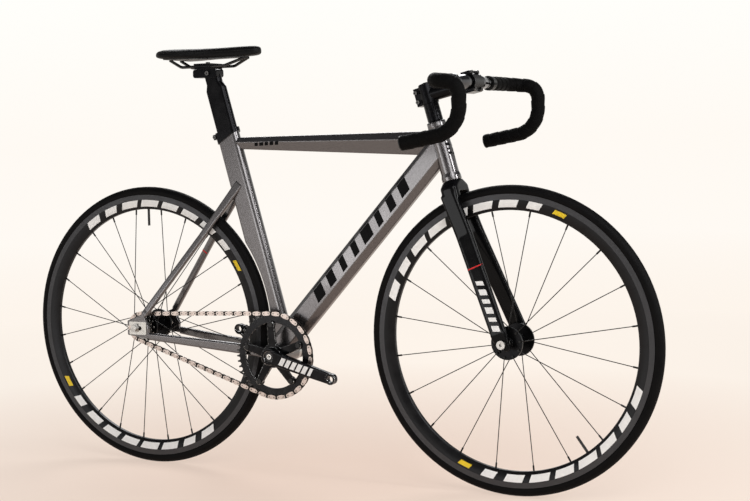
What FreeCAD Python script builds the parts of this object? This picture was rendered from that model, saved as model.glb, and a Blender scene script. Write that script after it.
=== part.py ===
import FreeCAD, Part
import math
import os
import re
import Sketcher
from FreeCAD import Placement, Rotation, Vector

# A track bicycle with one fixed gear: frame, fork, two wheels, cranks and chain, bars, post and saddle.
# The origin is on the ground midway between the tyres. +X is forward, +Y is left and +Z is up.

# Driving dimensions, in millimetres and degrees.
SIZES = {
    # Stance of the wheels and the frame's angles
    "front_centre": 576.554,
    "wheel_radius": 336.0,
    "wheel_bracket_room": 39.0,
    "bracket_drop": 52.0,
    "head_angle": 74.0,
    "seat_angle": 74.3,
    "fork_rake": 36.0,
    "fork_above_wheel": 34.0,
    # Gaps between pieces that fit together
    "running_gap": 0.05,
    "side_gap": 0.3,
    "seat_gap": 0.1,
    # Tyres, inner tubes and rims
    "tyre_width": 25.0,
    "tyre_wall": 2.2,
    "tyre_bead_opening": 9.0,
    "rim_hook_inset": 19.0,
    "rim_hook_depth": 6.0,
    "rim_depth": 35.0,
    "rim_width": 23.0,
    "rim_hook_wall": 2.4,
    "rim_track_height": 12.0,
    "rim_nose_width": 11.0,
    "rim_side_bulge": 60.0,
    "rim_skin": 1.6,
    "valve_radius": 3.0,
    "valve_reach": 40.0,
    "front_valve_angle": -54.0,
    "rear_valve_angle": 90.0,
    # Hubs, spokes and axles
    "flange_radius": 36.0,
    "flange_thickness": 4.0,
    "spoke_circle_radius": 31.0,
    "spoke_radius": 1.0,
    "spoke_head_radius": 2.2,
    "spoke_elbow": 2.6,
    "nipple_radius": 2.0,
    "nipple_length": 12.0,
    "front_spoke_count": 20.0,
    "rear_spoke_count": 24.0,
    "rear_spoke_cross": 2.0,
    "front_hub_width": 100.0,
    "front_flange_spacing": 66.0,
    "front_barrel_radius": 13.0,
    "front_neck_radius": 14.0,
    "front_axle_radius": 5.0,
    "front_bearing_radius": 11.0,
    "front_bearing_width": 8.0,
    "front_stub_radius": 4.5,
    "front_bolt_radius": 3.0,
    "front_bolt_head_radius": 9.5,
    "front_bolt_head_height": 7.0,
    "front_bolt_length": 24.0,
    "front_bolt_socket": 3.5,
    "rear_hub_width": 120.0,
    "rear_flange_spacing": 58.0,
    "rear_barrel_radius": 15.0,
    "rear_neck_radius": 17.3,
    "rear_axle_radius": 5.0,
    "rear_bearing_radius": 13.0,
    "rear_bearing_width": 9.0,
    "shoulder_length": 8.0,
    "shoulder_radius": 9.0,
    "hub_bore_gap": 2.0,
    "rear_nut_flats": 15.0,
    "rear_nut_height": 7.0,
    "rear_washer_radius": 11.0,
    "rear_washer_height": 2.4,
    # Chain and sprockets
    "chain_pitch": 12.7,
    "chain_phase": 0.25,
    "ring_teeth": 48.0,
    "cog_teeth": 16.0,
    "chain_line": 43.0,
    "roller_diameter": 7.75,
    "roller_gap": 0.2,
    "roller_sides": 8.0,
    "tooth_thickness": 2.8,
    "tooth_tip_height": 3.6,
    "tooth_tip_share": 0.12,
    "tooth_space_angle": 65.0,
    "chain_inner_width": 3.4,
    "chain_plate_thickness": 1.2,
    "chain_plate_height": 9.0,
    "chain_plate_waist": 7.0,
    "cog_boss_radius": 24.0,
    "cog_boss_width": 6.0,
    "lockring_radius": 20.0,
    "lockring_width": 5.0,
    # Chainring, cranks and bottom bracket
    "ring_inner_radius": 76.0,
    "ring_bolt_circle": 144.0,
    "ring_tab_radius": 10.0,
    "ring_bolt_radius": 4.0,
    "ring_bolt_head_radius": 5.6,
    "ring_bolt_head_height": 1.6,
    "spider_arms": 5.0,
    "spider_thickness": 5.0,
    "spider_hub_radius": 28.0,
    "spider_root_width": 24.0,
    "spider_tip_width": 17.0,
    "crank_length": 170.0,
    "crank_angle": -14.2,
    "crank_inner_face": 46.4,
    "crank_outer_face": 70.0,
    "crank_boss_radius": 19.5,
    "crank_root_width": 34.0,
    "crank_tip_width": 25.0,
    "crank_root_thickness": 15.0,
    "crank_tip_thickness": 13.0,
    "crank_tip_outer_face": 78.0,
    "crank_edge_radius": 3.0,
    "pedal_hole_radius": 7.1,
    "spindle_radius": 12.0,
    "spindle_half_length": 62.0,
    "crank_bolt_radius": 4.0,
    "crank_bolt_length": 24.0,
    "crank_bolt_head_height": 5.0,
    "crank_bolt_socket": 4.0,
    "shell_radius": 22.5,
    "shell_bore_radius": 17.5,
    "shell_width": 68.0,
    "cup_radius": 21.5,
    "crank_cup_gap": 0.9,
    "cup_thread_depth": 12.0,
    "cup_room": 2.5,
    # Seat tube, seatpost and collar
    "seat_tube_forward": 7.0,
    "seat_tube_start": 8.0,
    "seat_tube_length": 536.0,
    "seat_tube_chord": 55.5,
    "seat_tube_width": 27.5,
    "seat_tube_rear_width": 19.0,
    "seat_tube_nose_round": 12.2,
    "seat_tube_rear_round": 5.0,
    "seat_tube_wall": 1.9,
    "seat_socket_depth": 178.0,
    "wheel_cutaway_gap": 11.0,
    "post_insertion": 110.0,
    "post_exposed": 102.0,
    "post_slide_gap": 0.15,
    "post_neck_chord": 40.0,
    "post_neck_height": 28.0,
    "post_head_height": 20.0,
    "post_head_length": 66.0,
    "post_head_width": 30.0,
    "post_head_round": 6.0,
    "post_head_setback": 12.0,
    "collar_wall": 3.0,
    "collar_front_height": 9.0,
    "collar_rear_height": 24.0,
    "collar_lip": 1.5,
    "collar_ear_length": 10.0,
    "collar_ear_width": 18.0,
    "collar_ear_height": 12.0,
    "collar_bolt_radius": 2.5,
    "collar_bolt_head_radius": 4.2,
    "collar_bolt_head_height": 4.0,
    "collar_bolt_socket": 2.0,
    # Head tube and headset
    "head_tube_length": 130.0,
    "head_tube_radius": 20.0,
    "head_tube_top_radius": 21.0,
    "head_tube_foot_radius": 22.0,
    "head_tube_band": 8.0,
    "head_bore_radius": 17.4,
    "headset_bearing_width": 8.0,
    "headset_cover_height": 4.0,
    "headset_cover_radius": 20.5,
    "spacer_count": 4.0,
    "spacer_height": 10.0,
    "spacer_radius": 17.0,
    "spacer_groove": 0.6,
    "steerer_radius": 14.3,
    "steerer_wall": 2.4,
    "steerer_seat_depth": 20.0,
    "steerer_top_gap": 3.0,
    "steerer_plug_length": 22.0,
    "top_cap_height": 5.0,
    "top_cap_radius": 17.0,
    "top_cap_edge": 1.5,
    "top_cap_bolt_radius": 3.0,
    "top_cap_bolt_length": 26.0,
    "top_cap_bolt_head_radius": 6.0,
    "top_cap_bolt_head_height": 2.4,
    "top_cap_bolt_socket": 2.5,
    # Top tube and down tube
    "top_tube_rear_forward": 14.5,
    "top_tube_rear_below": 21.0,
    "top_tube_rear_depth": 28.0,
    "top_tube_rear_width": 25.4,
    "top_tube_rear_crease": 11.5,
    "top_tube_front_below": 17.4,
    "top_tube_front_depth": 57.0,
    "top_tube_front_width": 38.0,
    "top_tube_front_crease": 17.5,
    "top_tube_flat_width": 12.0,
    "top_tube_edge_round": 3.0,
    "down_tube_above_bracket": 12.8,
    "down_tube_below_top": 52.0,
    "down_tube_depth": 58.0,
    "down_tube_width": 36.0,
    "down_tube_flat_width": 24.0,
    "down_tube_nose_width": 14.0,
    "down_tube_shoulder": 10.0,
    "down_tube_chamfer": 14.0,
    "down_tube_edge_round": 4.0,
    # Stays and rear dropouts
    "stay_edge_round": 4.0,
    "chainstay_root_spread": 25.0,
    "chainstay_waist_spread": 27.5,
    "chainstay_waist_share": 0.30,
    "chainstay_root_depth": 26.0,
    "chainstay_waist_depth": 24.0,
    "chainstay_tip_depth": 17.0,
    "chainstay_root_width": 15.0,
    "chainstay_waist_width": 14.0,
    "chainstay_tip_width": 13.0,
    "chainstay_end_forward": 40.0,
    "chainstay_end_below": 19.0,
    "seatstay_end_forward": 24.0,
    "seatstay_end_above": 33.0,
    "seatstay_top_below": 128.0,
    "seatstay_top_spread": 7.0,
    "seatstay_waist_spread": 26.5,
    "seatstay_waist_share": 0.60,
    "seatstay_tip_depth": 16.0,
    "seatstay_top_depth": 22.0,
    "seatstay_width": 12.0,
    "dropout_thickness": 7.0,
    "dropout_tail": 24.0,
    "dropout_prong": 17.0,
    "dropout_throat": 37.0,
    "dropout_slot_front": 18.0,
    "dropout_lobe_width": 11.0,
    "dropout_lobe_length": 12.0,
    "dropout_lobe_root": 5.0,
    "dropout_round": 3.0,
    "dropout_plate_thickness": 1.6,
    "dropout_plate_front": 31.0,
    "dropout_plate_tail": 18.0,
    "dropout_plate_height": 31.0,
    # Fork
    "crown_width": 78.0,
    "crown_depth": 40.0,
    "crown_edge_round": 12.0,
    "crown_shoulder": 14.0,
    "crown_height": 44.0,
    "crown_top_radius": 21.5,
    "crown_tyre_gap": 7.0,
    "crown_inner_gap": 39.0,
    "blade_top_below_head": 29.0,
    "blade_top_setback": 4.0,
    "blade_chord": 38.0,
    "blade_top_thickness": 19.0,
    "blade_middle_thickness": 17.0,
    "blade_middle_share": 0.28,
    "blade_middle_spread": 31.5,
    "blade_edge_round": 5.5,
    "tip_thickness": 12.0,
    "tip_above": 26.0,
    "tip_below": 17.0,
    "tip_foot_width": 24.0,
    # Stem and handlebar
    "stem_length": 105.0,
    "stem_rise_angle": 13.0,
    "stem_clamp_height": 40.0,
    "stem_clamp_radius": 19.0,
    "stem_neck_radius": 16.5,
    "stem_ear_length": 27.0,
    "stem_ear_width": 24.0,
    "stem_slit": 2.0,
    "stem_bolt_radius": 2.5,
    "stem_bolt_head_radius": 4.2,
    "stem_bolt_head_height": 5.0,
    "stem_bolt_socket": 2.2,
    "stem_pinch_setback": 22.5,
    "stem_pinch_spacing": 21.0,
    "bar_clamp_width": 46.0,
    "bar_clamp_radius": 20.0,
    "bar_clamp_split": 1.0,
    "faceplate_boss_height": 46.0,
    "faceplate_boss_depth": 10.0,
    "faceplate_bolt_spread": 32.0,
    "faceplate_bolt_spacing": 38.0,
    "faceplate_bolt_length": 18.0,
    "bar_center_radius": 15.9,
    "bar_center_half_width": 42.0,
    "bar_taper": 32.0,
    "bar_radius": 12.0,
    "bar_half_width": 215.0,
    "bar_corner_radius": 42.0,
    "bar_ramp_angle": 6.0,
    "hook_upper_radius": 29.0,
    "hook_straight": 21.0,
    "hook_lower_radius": 60.0,
    "drop_angle": 10.0,
    "drop_length": 80.0,
    "tape_start": 90.0,
    "tape_thickness": 3.6,
    "bar_plug_length": 4.0,
    "bar_plug_stem_length": 14.0,
    "bar_plug_stem_radius": 9.0,
    # Saddle, its rails and their clamp
    "saddle_length": 268.0,
    "saddle_width": 138.0,
    "saddle_thickness": 22.0,
    "saddle_shoulder_share": 0.5,
    "saddle_foot_share": 0.86,
    "saddle_above_rails": 21.0,
    "saddle_nose_ahead": 144.0,
    "saddle_shell_thickness": 3.0,
    "saddle_shell_share": 0.82,
    "rail_radius": 3.5,
    "rail_above_head": 16.0,
    "rail_spread": 22.0,
    "rail_length": 120.0,
    "rail_rear_run": 32.0,
    "rail_nose_run": 48.0,
    "rail_nose_spread": 7.0,
    "rail_bend": 20.0,
    "cradle_length": 44.0,
    "cradle_height": 7.0,
    "cradle_width": 54.0,
    "cradle_split": 1.0,
    "cradle_groove_gap": 0.1,
    "cradle_bolt_radius": 3.0,
    "cradle_bolt_length": 24.0,
    "cradle_bolt_head_radius": 5.0,
    "cradle_bolt_head_height": 4.0,
    "cradle_bolt_socket": 2.5,
    "cradle_pivot_forward": 8.0,
}

# Sizes that follow from the driving ones
FOLLOWING = {
    "rim_hook_radius": "wheel_radius - rim_hook_inset",
    "rim_seat_radius": "rim_hook_radius - rim_hook_depth",
    "rim_inner_radius": "rim_hook_radius - rim_depth",
    "fork_length": "wheel_radius + fork_above_wheel",
    "blade_top_station": "fork_length - blade_top_below_head",
    "seatstay_top_station": "seat_tube_length - seatstay_top_below",
    "down_tube_head_station": "head_tube_length - down_tube_below_top",
    "cup_width": "crank_inner_face - crank_cup_gap - shell_width / 2",
}

doc = FreeCAD.newDocument("TrackBicycle")
sheet = doc.addObject("Spreadsheet::Sheet", "Sizes")
cells = [(name, str(number)) for name, number in SIZES.items()]
cells += [(name, "=" + formula) for name, formula in FOLLOWING.items()]
for row, (name, content) in enumerate(cells, start=1):
    sheet.set("A%d" % row, name)
    sheet.set("B%d" % row, content)
    sheet.setAlias("B%d" % row, name)
doc.recompute()

parts = {}
X_AXIS = Vector(1, 0, 0)
Y_AXIS = Vector(0, 1, 0)
Z_AXIS = Vector(0, 0, 1)


def mm(name):
    """A driving dimension, read from its cell."""
    return float(getattr(sheet, name))


def value(text):
    """The number that an expression of the sheet's names comes to."""
    return float(sheet.evalExpression(text))


def bound(text):
    """The expression with each size's name pointed at its cell."""
    def pointed(word):
        name = word.group(0)
        return "Sizes." + name if name in SIZES or name in FOLLOWING else name
    return re.sub(r"[a-z_]+", pointed, text)


def bind(item, **sizes):
    """Ties an object's properties to the sheet."""
    for prop, text in sizes.items():
        item.setExpression(prop, bound(text))
    return item


def keep(label, item):
    """Names a sub-part, which gives its file its name."""
    item.Label = label
    parts[label] = item
    return item


def feature(label, shape):
    """A sub-part whose shape is a loft, a sweep or an array of solids."""
    item = doc.addObject("Part::Feature", label)
    item.Shape = shape
    return keep(label, item)


def along(origin, angle):
    """A placement whose Z axis points along an angle in the side view and whose Y axis stays across."""
    return Placement(origin, Rotation(Y_AXIS, 90.0 - angle))


def turned(name, plane, profile, place):
    """A body revolved about its own axis: Y for a profile on XY_Plane, Z for one on XZ_Plane.

    Each profile point is (radius, station), or (radius, station, arc radius) where the stretch to the
    next point is an arc. An arc bulges outwards where the profile runs anticlockwise.
    """
    body = doc.addObject("PartDesign::Body", name)
    sketch = body.newObject("Sketcher::SketchObject", name + "_profile")
    support = [item for item in body.Origin.OriginFeatures if item.Role == plane]
    sketch.AttachmentSupport = [(support[0], "")]
    sketch.MapMode = "FlatFace"
    spots = [Vector(value(point[0]), value(point[1]), 0) for point in profile]
    count = len(spots)
    ends = []
    for number, point in enumerate(profile):
        start = spots[number]
        end = spots[(number + 1) % count]
        if len(point) == 2:
            sketch.addGeometry(Part.LineSegment(start, end), False)
            ends.append((1, 2))
            continue
        half = (end - start) * 0.5
        side = Vector(half.y, -half.x, 0).normalize()
        radius = value(point[2])
        depth = math.sqrt(radius ** 2 - half.Length ** 2)
        crest = start + half + side * (radius - depth)
        arc = Part.Arc(start, crest, end)
        sketch.addGeometry(arc, False)
        forward = sketch.Geometry[number].StartPoint.isEqual(start, 1e-6)
        ends.append((1, 2) if forward else (2, 1))
    for number in range(count):
        after = (number + 1) % count
        join = Sketcher.Constraint("Coincident", number, ends[number][1], after, ends[after][0])
        sketch.addConstraint(join)
    for number, point in enumerate(profile):
        for kind, text in (("DistanceX", point[0]), ("DistanceY", point[1])):
            tie = sketch.addConstraint(Sketcher.Constraint(kind, number, ends[number][0], value(text)))
            sketch.setExpression("Constraints[%d]" % tie, bound(text))
        if len(point) == 3:
            tie = sketch.addConstraint(Sketcher.Constraint("Radius", number, value(point[2])))
            sketch.setExpression("Constraints[%d]" % tie, bound(point[2]))
    turn = body.newObject("PartDesign::Revolution", name + "_turn")
    turn.Profile = sketch
    turn.ReferenceAxis = (sketch, ["V_Axis"])
    turn.Angle = 360.0
    body.Placement = place
    return body


def rod(name, radius, length, start, direction):
    """A round bar from a point along a direction."""
    item = doc.addObject("Part::Cylinder", name)
    bind(item, Radius=radius, Height=length)
    item.Placement = Placement(start, Rotation(Z_AXIS, direction))
    return item


def cut(name, base, *tools):
    """What is left of a piece once the tools are taken away."""
    result = base
    for number, tool in enumerate(tools):
        step = doc.addObject("Part::Cut", "%s_cut%d" % (name, number))
        step.Base = result
        step.Tool = tool
        result = step
    return result


def fuse(name, *pieces):
    """Several forms joined into one solid."""
    item = doc.addObject("Part::MultiFuse", name + "_joined")
    item.Shapes = list(pieces)
    return item


def group(name, *pieces):
    """Several solids that share one sub-part."""
    item = doc.addObject("Part::Compound", name + "_group")
    item.Links = list(pieces)
    return item


def mirrored(name, piece):
    """The same piece on the other side of the bicycle."""
    item = doc.addObject("Part::Mirroring", name + "_other_side")
    item.Source = piece
    item.Normal = Y_AXIS
    item.Base = Vector(0, 0, 0)
    return item


def outline(corners):
    """A closed flat wire through corners (u, w, radius), each corner rounded by its radius."""
    spots = [Vector(u, w, 0) for u, w, radius in corners]
    count = len(corners)
    rounds = []
    for number in range(count):
        spot = spots[number]
        back = (spots[number - 1] - spot).normalize()
        ahead = (spots[(number + 1) % count] - spot).normalize()
        half = back.getAngle(ahead) / 2.0
        radius = corners[number][2]
        reach = radius / math.tan(half)
        middle = (back + ahead).normalize()
        crest = spot + middle * (radius / math.sin(half) - radius)
        rounds.append((spot + back * reach, crest, spot + ahead * reach))
    edges = []
    for number in range(count):
        start, crest, end = rounds[number]
        edges.append(Part.Arc(start, crest, end).toShape())
        edges.append(Part.LineSegment(end, rounds[(number + 1) % count][0]).toShape())
    return Part.Wire(edges)


def placed(wire, place):
    """A copy of a wire set on a plane of the bicycle."""
    copy = wire.copy()
    copy.Placement = place
    return copy


def loft(wires, ruled=True):
    """A solid skinned over a row of sections."""
    return Part.makeLoft(wires, True, ruled)


def extruded(wire, place, height):
    """A flat outline pulled along its placement's Z axis."""
    face = Part.Face(placed(wire, place))
    return face.extrude(place.Rotation.multVec(Z_AXIS) * height)


def side_plate(corners, origin, y_start, thickness):
    """An outline drawn in the side view about a point, given a thickness across the bicycle."""
    flat = outline([(u, w, radius) for u, w, radius in corners])
    place = Placement(Vector(origin.x, y_start, origin.z), Rotation(X_AXIS, 90))
    return extruded(flat, place, -thickness)


def reflect(shape):
    """A shape's mirror image across the bicycle."""
    return shape.mirror(Vector(0, 0, 0), Y_AXIS)


# The chain's loop: enough whole links for the wheel to clear the bracket, with the axle slid until it is tight
ring_pitch_radius = mm("chain_pitch") / (2 * math.sin(math.pi / mm("ring_teeth")))
cog_pitch_radius = mm("chain_pitch") / (2 * math.sin(math.pi / mm("cog_teeth")))


def loop_links(centres):
    """How many links a tight loop holds, and how far its straight runs lean, at a centre distance."""
    lean = math.asin((ring_pitch_radius - cog_pitch_radius) / centres)
    on_ring = mm("ring_teeth") * (math.pi + 2 * lean) / (2 * math.pi)
    on_cog = mm("cog_teeth") * (math.pi - 2 * lean) / (2 * math.pi)
    run = centres * math.cos(lean) / mm("chain_pitch")
    return on_ring, run, on_cog, lean


rear_reach = mm("wheel_radius") + mm("wheel_bracket_room")
least_links = 2 * rear_reach / mm("chain_pitch") + (mm("ring_teeth") + mm("cog_teeth")) / 2
chain_links = 2 * math.ceil(least_links / 2)
low = ring_pitch_radius + cog_pitch_radius
high = chain_links * mm("chain_pitch")
for step in range(60):
    middle = (low + high) / 2
    on_ring, run, on_cog, lean = loop_links(middle)
    if on_ring + 2 * run + on_cog < chain_links:
        low = middle
    else:
        high = middle
chainstay_length = (low + high) / 2
bracket_ahead = math.sqrt(chainstay_length ** 2 - mm("bracket_drop") ** 2)

# The points that the frame is set out from
wheelbase = bracket_ahead + math.sqrt(mm("front_centre") ** 2 - mm("bracket_drop") ** 2)
front_axle = Vector(wheelbase / 2, 0, mm("wheel_radius"))
rear_axle = Vector(-wheelbase / 2, 0, mm("wheel_radius"))
bracket = rear_axle + Vector(bracket_ahead, 0, -mm("bracket_drop"))
steer_angle = 180.0 - mm("head_angle")
steer_up = Vector(math.cos(math.radians(steer_angle)), 0, math.sin(math.radians(steer_angle)))
steer_fore = Vector(steer_up.z, 0, -steer_up.x)
steer_foot = front_axle - steer_fore * mm("fork_rake")


def steer(station):
    """A point on the steering axis, by its distance up from the axle's foot."""
    return steer_foot + steer_up * station



seat_lean = 180.0 - mm("seat_angle")
seat_up = Vector(math.cos(math.radians(seat_lean)), 0, math.sin(math.radians(seat_lean)))
seat_fore = Vector(seat_up.z, 0, -seat_up.x)


def seat(station):
    """A point on the seat tube's axis, by its distance up from the bottom bracket."""
    return bracket + seat_fore * mm("seat_tube_forward") + seat_up * station


# Wheels: tyre, inner tube with its valve, rim, spokes and hub, front and rear
def wheel_disc(name, axle, radius, width):
    """A disc about a wheel's axle, centred on the wheel."""
    item = rod(name, radius, width, axle, Y_AXIS)
    item.Placement.Base = axle - Y_AXIS * (value(width) / 2)
    return item


def wheel_torus(name, axle, section):
    """A ring of round section where the tyre runs."""
    item = doc.addObject("Part::Torus", name)
    bind(item, Radius1="wheel_radius - tyre_width / 2", Radius2=section)
    item.Placement = Placement(axle, Rotation(X_AXIS, 90))
    return item


def make_tyre(end, axle):
    """A hollow tyre whose beads sit between the rim's hooked walls."""
    name = end + "_tyre"
    outer = wheel_torus(name + "_outer", axle, "tyre_width / 2")
    cavity = wheel_torus(name + "_cavity", axle, "tyre_width / 2 - tyre_wall")
    opening = wheel_disc(name + "_opening", axle, "wheel_radius - tyre_width / 2", "tyre_bead_opening")
    hooks = wheel_disc(name + "_hooks", axle, "rim_hook_radius + seat_gap", "tyre_width + rim_width")
    channel_width = "rim_width - 2 * rim_hook_wall - 2 * seat_gap"
    channel = wheel_disc(name + "_channel", axle, "wheel_radius", channel_width)
    walls = cut(name + "_walls", hooks, channel)
    keep(name, cut(name, outer, cavity, opening, walls))


def make_inner_tube(end, axle, valve_angle):
    """The air tube in the tyre, with the valve stem that reaches in through the rim."""
    name = end + "_inner_tube"
    ring = wheel_torus(name + "_ring", axle, "tyre_width / 2 - tyre_wall - seat_gap")
    inward = Vector(-math.cos(math.radians(valve_angle)), 0, -math.sin(math.radians(valve_angle)))
    outer_end = axle - inward * value("wheel_radius - tyre_width / 2")
    length = "wheel_radius - tyre_width / 2 - rim_inner_radius + valve_reach"
    stem = rod(name + "_valve", "valve_radius", length, outer_end, inward)
    keep(name, fuse(name, ring, stem))


def make_rim(end, axle, valve_angle):
    """A deep hollow rim: hooked walls and brake tracks outside, curved sides down to a narrow nose."""
    name = end + "_rim"
    profile = [
        ("rim_hook_radius", "-rim_width / 2"),
        ("rim_hook_radius", "-rim_width / 2 + rim_hook_wall"),
        ("rim_seat_radius", "-rim_width / 2 + rim_hook_wall"),
        ("rim_seat_radius", "rim_width / 2 - rim_hook_wall"),
        ("rim_hook_radius", "rim_width / 2 - rim_hook_wall"),
        ("rim_hook_radius", "rim_width / 2"),
        ("rim_hook_radius - rim_track_height", "rim_width / 2", "rim_side_bulge"),
        ("rim_inner_radius + rim_skin", "rim_nose_width / 2"),
        ("rim_inner_radius", "rim_nose_width / 2 - rim_skin"),
        ("rim_inner_radius", "-rim_nose_width / 2 + rim_skin"),
        ("rim_inner_radius + rim_skin", "-rim_nose_width / 2", "rim_side_bulge"),
        ("rim_hook_radius - rim_track_height", "-rim_width / 2"),
    ]
    body = turned(name + "_body", "XY_Plane", profile, Placement(axle, Rotation()))
    hollow = turned(name + "_hollow", "XY_Plane", [
        ("rim_seat_radius - rim_skin", "-rim_width / 2 + rim_hook_wall"),
        ("rim_seat_radius - rim_skin", "rim_width / 2 - rim_hook_wall"),
        ("rim_hook_radius - rim_track_height", "rim_width / 2 - rim_hook_wall"),
        ("rim_inner_radius + 2 * rim_skin", "rim_nose_width / 2 - rim_skin"),
        ("rim_inner_radius + 2 * rim_skin", "-rim_nose_width / 2 + rim_skin"),
        ("rim_hook_radius - rim_track_height", "-rim_width / 2 + rim_hook_wall"),
    ], Placement(axle, Rotation()))
    outward = Vector(math.cos(math.radians(valve_angle)), 0, math.sin(math.radians(valve_angle)))
    hole = rod(name + "_valve_hole", "valve_radius + seat_gap", "wheel_radius", axle, outward)
    keep(name, cut(name, body, hollow, hole))


def make_hub(end, axle):
    """A high-flange hub shell, bored for the axle with a bearing seat at each end."""
    name = end + "_hub"
    half = "{0}_hub_width / 2 - shoulder_length - side_gap".format(end)
    seat_end = "{0} - {1}_bearing_width".format(half, end)
    outer_face = "{0}_flange_spacing / 2 + flange_thickness / 2".format(end)
    inner_face = "{0}_flange_spacing / 2 - flange_thickness / 2".format(end)
    waist = "{0}_flange_spacing / 4".format(end)
    neck = end + "_neck_radius"
    barrel = end + "_barrel_radius"
    bore = end + "_axle_radius + hub_bore_gap"
    bearing = end + "_bearing_radius"
    right = [
        (bearing, half), (neck, half), (neck, outer_face), ("flange_radius", outer_face),
        ("flange_radius", inner_face), (neck, inner_face), (barrel, waist),
    ]
    left = [(radius, "-(%s)" % station) for radius, station in reversed(right)]
    other_end = "-(%s)" % seat_end
    inside = [(bearing, other_end), (bore, other_end), (bore, seat_end), (bearing, seat_end)]
    profile = right + left + inside
    shell = turned(name + "_shell", "XY_Plane", profile, Placement(axle, Rotation()))
    keep(name, shell)
    ring = [
        (end + "_axle_radius + running_gap", seat_end), (bearing, seat_end),
        (bearing, half), (end + "_axle_radius + running_gap", half),
    ]
    race = turned(end + "_hub_bearing", "XY_Plane", ring, Placement(axle, Rotation()))
    other = mirrored(end + "_hub_bearing", race)
    keep(end + "_hub_bearings", group(end + "_hub_bearings", race, other))


def make_spokes(end, axle, count, cross):
    """Spokes from the flanges to the rim, each with its head at the hub and its nipple at the rim.

    Radial spokes lie on the flanges' outer faces. Crossed ones lie in turn outside and inside a flange.
    """
    solids = []
    step = 2 * math.pi / count
    rim_end = mm("rim_inner_radius") - mm("seat_gap")
    lift = mm("spoke_elbow")
    for number in range(count):
        side = 1.0 if number % 2 else -1.0
        face = value("{0}_flange_spacing / 2".format(end)) + mm("flange_thickness") / 2
        turn = 0.0
        if cross:
            trailing = (number // 2) % 2
            turn = cross * 2 * step * (1.0 if trailing else -1.0)
            if not trailing:
                face -= mm("flange_thickness")
        outside = 1.0 if not cross or trailing else -1.0
        rim_angle = (number + 0.5) * step
        hub_angle = rim_angle + turn
        hub_radius = mm("spoke_circle_radius")
        hub_spot = axle + Vector(hub_radius * math.cos(hub_angle), side * (face + outside * lift),
                                 hub_radius * math.sin(hub_angle))
        rim_spot = axle + Vector(rim_end * math.cos(rim_angle), 0, rim_end * math.sin(rim_angle))
        run = rim_spot - hub_spot
        length = run.Length
        run.normalize()
        wire = Part.makeCylinder(mm("spoke_radius"), length - mm("seat_gap"), hub_spot, run)
        nipple_start = rim_spot - run * mm("nipple_length")
        nipple_end = mm("nipple_length") - mm("nipple_radius") / 4
        nipple = Part.makeCylinder(mm("nipple_radius"), nipple_end, nipple_start, run)
        head_start = hub_spot - Y_AXIS * (side * outside * lift)
        head = Part.makeCylinder(mm("spoke_head_radius"), lift + mm("spoke_radius"), head_start,
                                 Y_AXIS * (side * outside))
        solids.append(wire.fuse([nipple, head]).removeSplitter().Solids[0])
    feature(end + "_spokes", Part.makeCompound(solids))


for end, axle in (("front", front_axle), ("rear", rear_axle)):
    angle = value(end + "_valve_angle")
    make_tyre(end, axle)
    make_inner_tube(end, axle, angle)
    make_rim(end, axle, angle)
    make_hub(end, axle)
    cross = 0 if end == "front" else int(mm("rear_spoke_cross"))
    make_spokes(end, axle, int(value(end + "_spoke_count")), cross)


# Axles: each is fixed in its dropouts, and the wheel's bearings turn on it
def axle_profile(end, tip, radius):
    """Half of an axle's profile: shaft, shoulder against the dropout, and the end in its slot."""
    inner = "{0}_hub_width / 2 - shoulder_length".format(end)
    outer = "{0}_hub_width / 2".format(end)
    return [
        (radius, tip), (radius, outer), ("shoulder_radius", outer), ("shoulder_radius", inner),
        (end + "_axle_radius", inner),
    ]


def other_half(profile):
    """The same points on the other side of the middle, in reverse."""
    return [(radius, "-(%s)" % station) for radius, station in reversed(profile)]


front_tip = "front_hub_width / 2 + tip_thickness - side_gap"
half = [("front_bolt_radius", front_tip)] + axle_profile("front", front_tip, "front_stub_radius")
at_front = Placement(front_axle, Rotation())
keep("front_axle", turned("front_axle_body", "XY_Plane", half + other_half(half), at_front))

rear_tip = "rear_hub_width / 2 + dropout_thickness + dropout_plate_thickness"
rear_tip += " + rear_washer_height + rear_nut_height"
half = [("0", rear_tip)] + axle_profile("rear", rear_tip, "rear_axle_radius")
at_rear = Placement(rear_axle, Rotation())
keep("rear_axle", turned("rear_axle_body", "XY_Plane", half + other_half(half), at_rear))


def socket_bolt(name, plane, shank, length, head, height, socket, face, place):
    """A bolt on its own axis: shank up to a face, round head beyond it with a drive recess."""
    top = "%s + %s" % (face, height)
    floor = "%s + %s / 3" % (face, height)
    profile = [
        ("0", "%s - %s" % (face, length)), (shank, "%s - %s" % (face, length)), (shank, face), (head, face),
        (head, top), (socket, top), (socket, floor), ("0", floor),
    ]
    return turned(name, plane, profile, place)


bolt = socket_bolt("front_axle_bolt", "XY_Plane", "front_bolt_radius", "front_bolt_length",
                   "front_bolt_head_radius", "front_bolt_head_height", "front_bolt_socket",
                   "front_hub_width / 2 + tip_thickness", at_front)
keep("front_axle_bolts", group("front_axle_bolts", bolt, mirrored("front_axle_bolt", bolt)))

nut_face = rear_axle + Y_AXIS * value("rear_hub_width / 2 + dropout_thickness + dropout_plate_thickness")
washer = rod("rear_washer", "rear_washer_radius", "rear_washer_height", nut_face, Y_AXIS)
hexagon = doc.addObject("Part::Prism", "rear_nut_hexagon")
hexagon.Polygon = 6
bind(hexagon, Circumradius="rear_nut_flats / 2 / cos(30)", Height="rear_nut_height")
hexagon.Placement = Placement(nut_face + Y_AXIS * mm("rear_washer_height"), Rotation(Z_AXIS, Y_AXIS))
thread = rod("rear_nut_thread", "rear_axle_radius", "rear_hub_width", rear_axle, Y_AXIS)
nut = cut("rear_axle_nut", fuse("rear_axle_nut", washer, hexagon), thread)
keep("rear_axle_nuts", group("rear_axle_nuts", nut, mirrored("rear_axle_nut", nut)))

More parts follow.
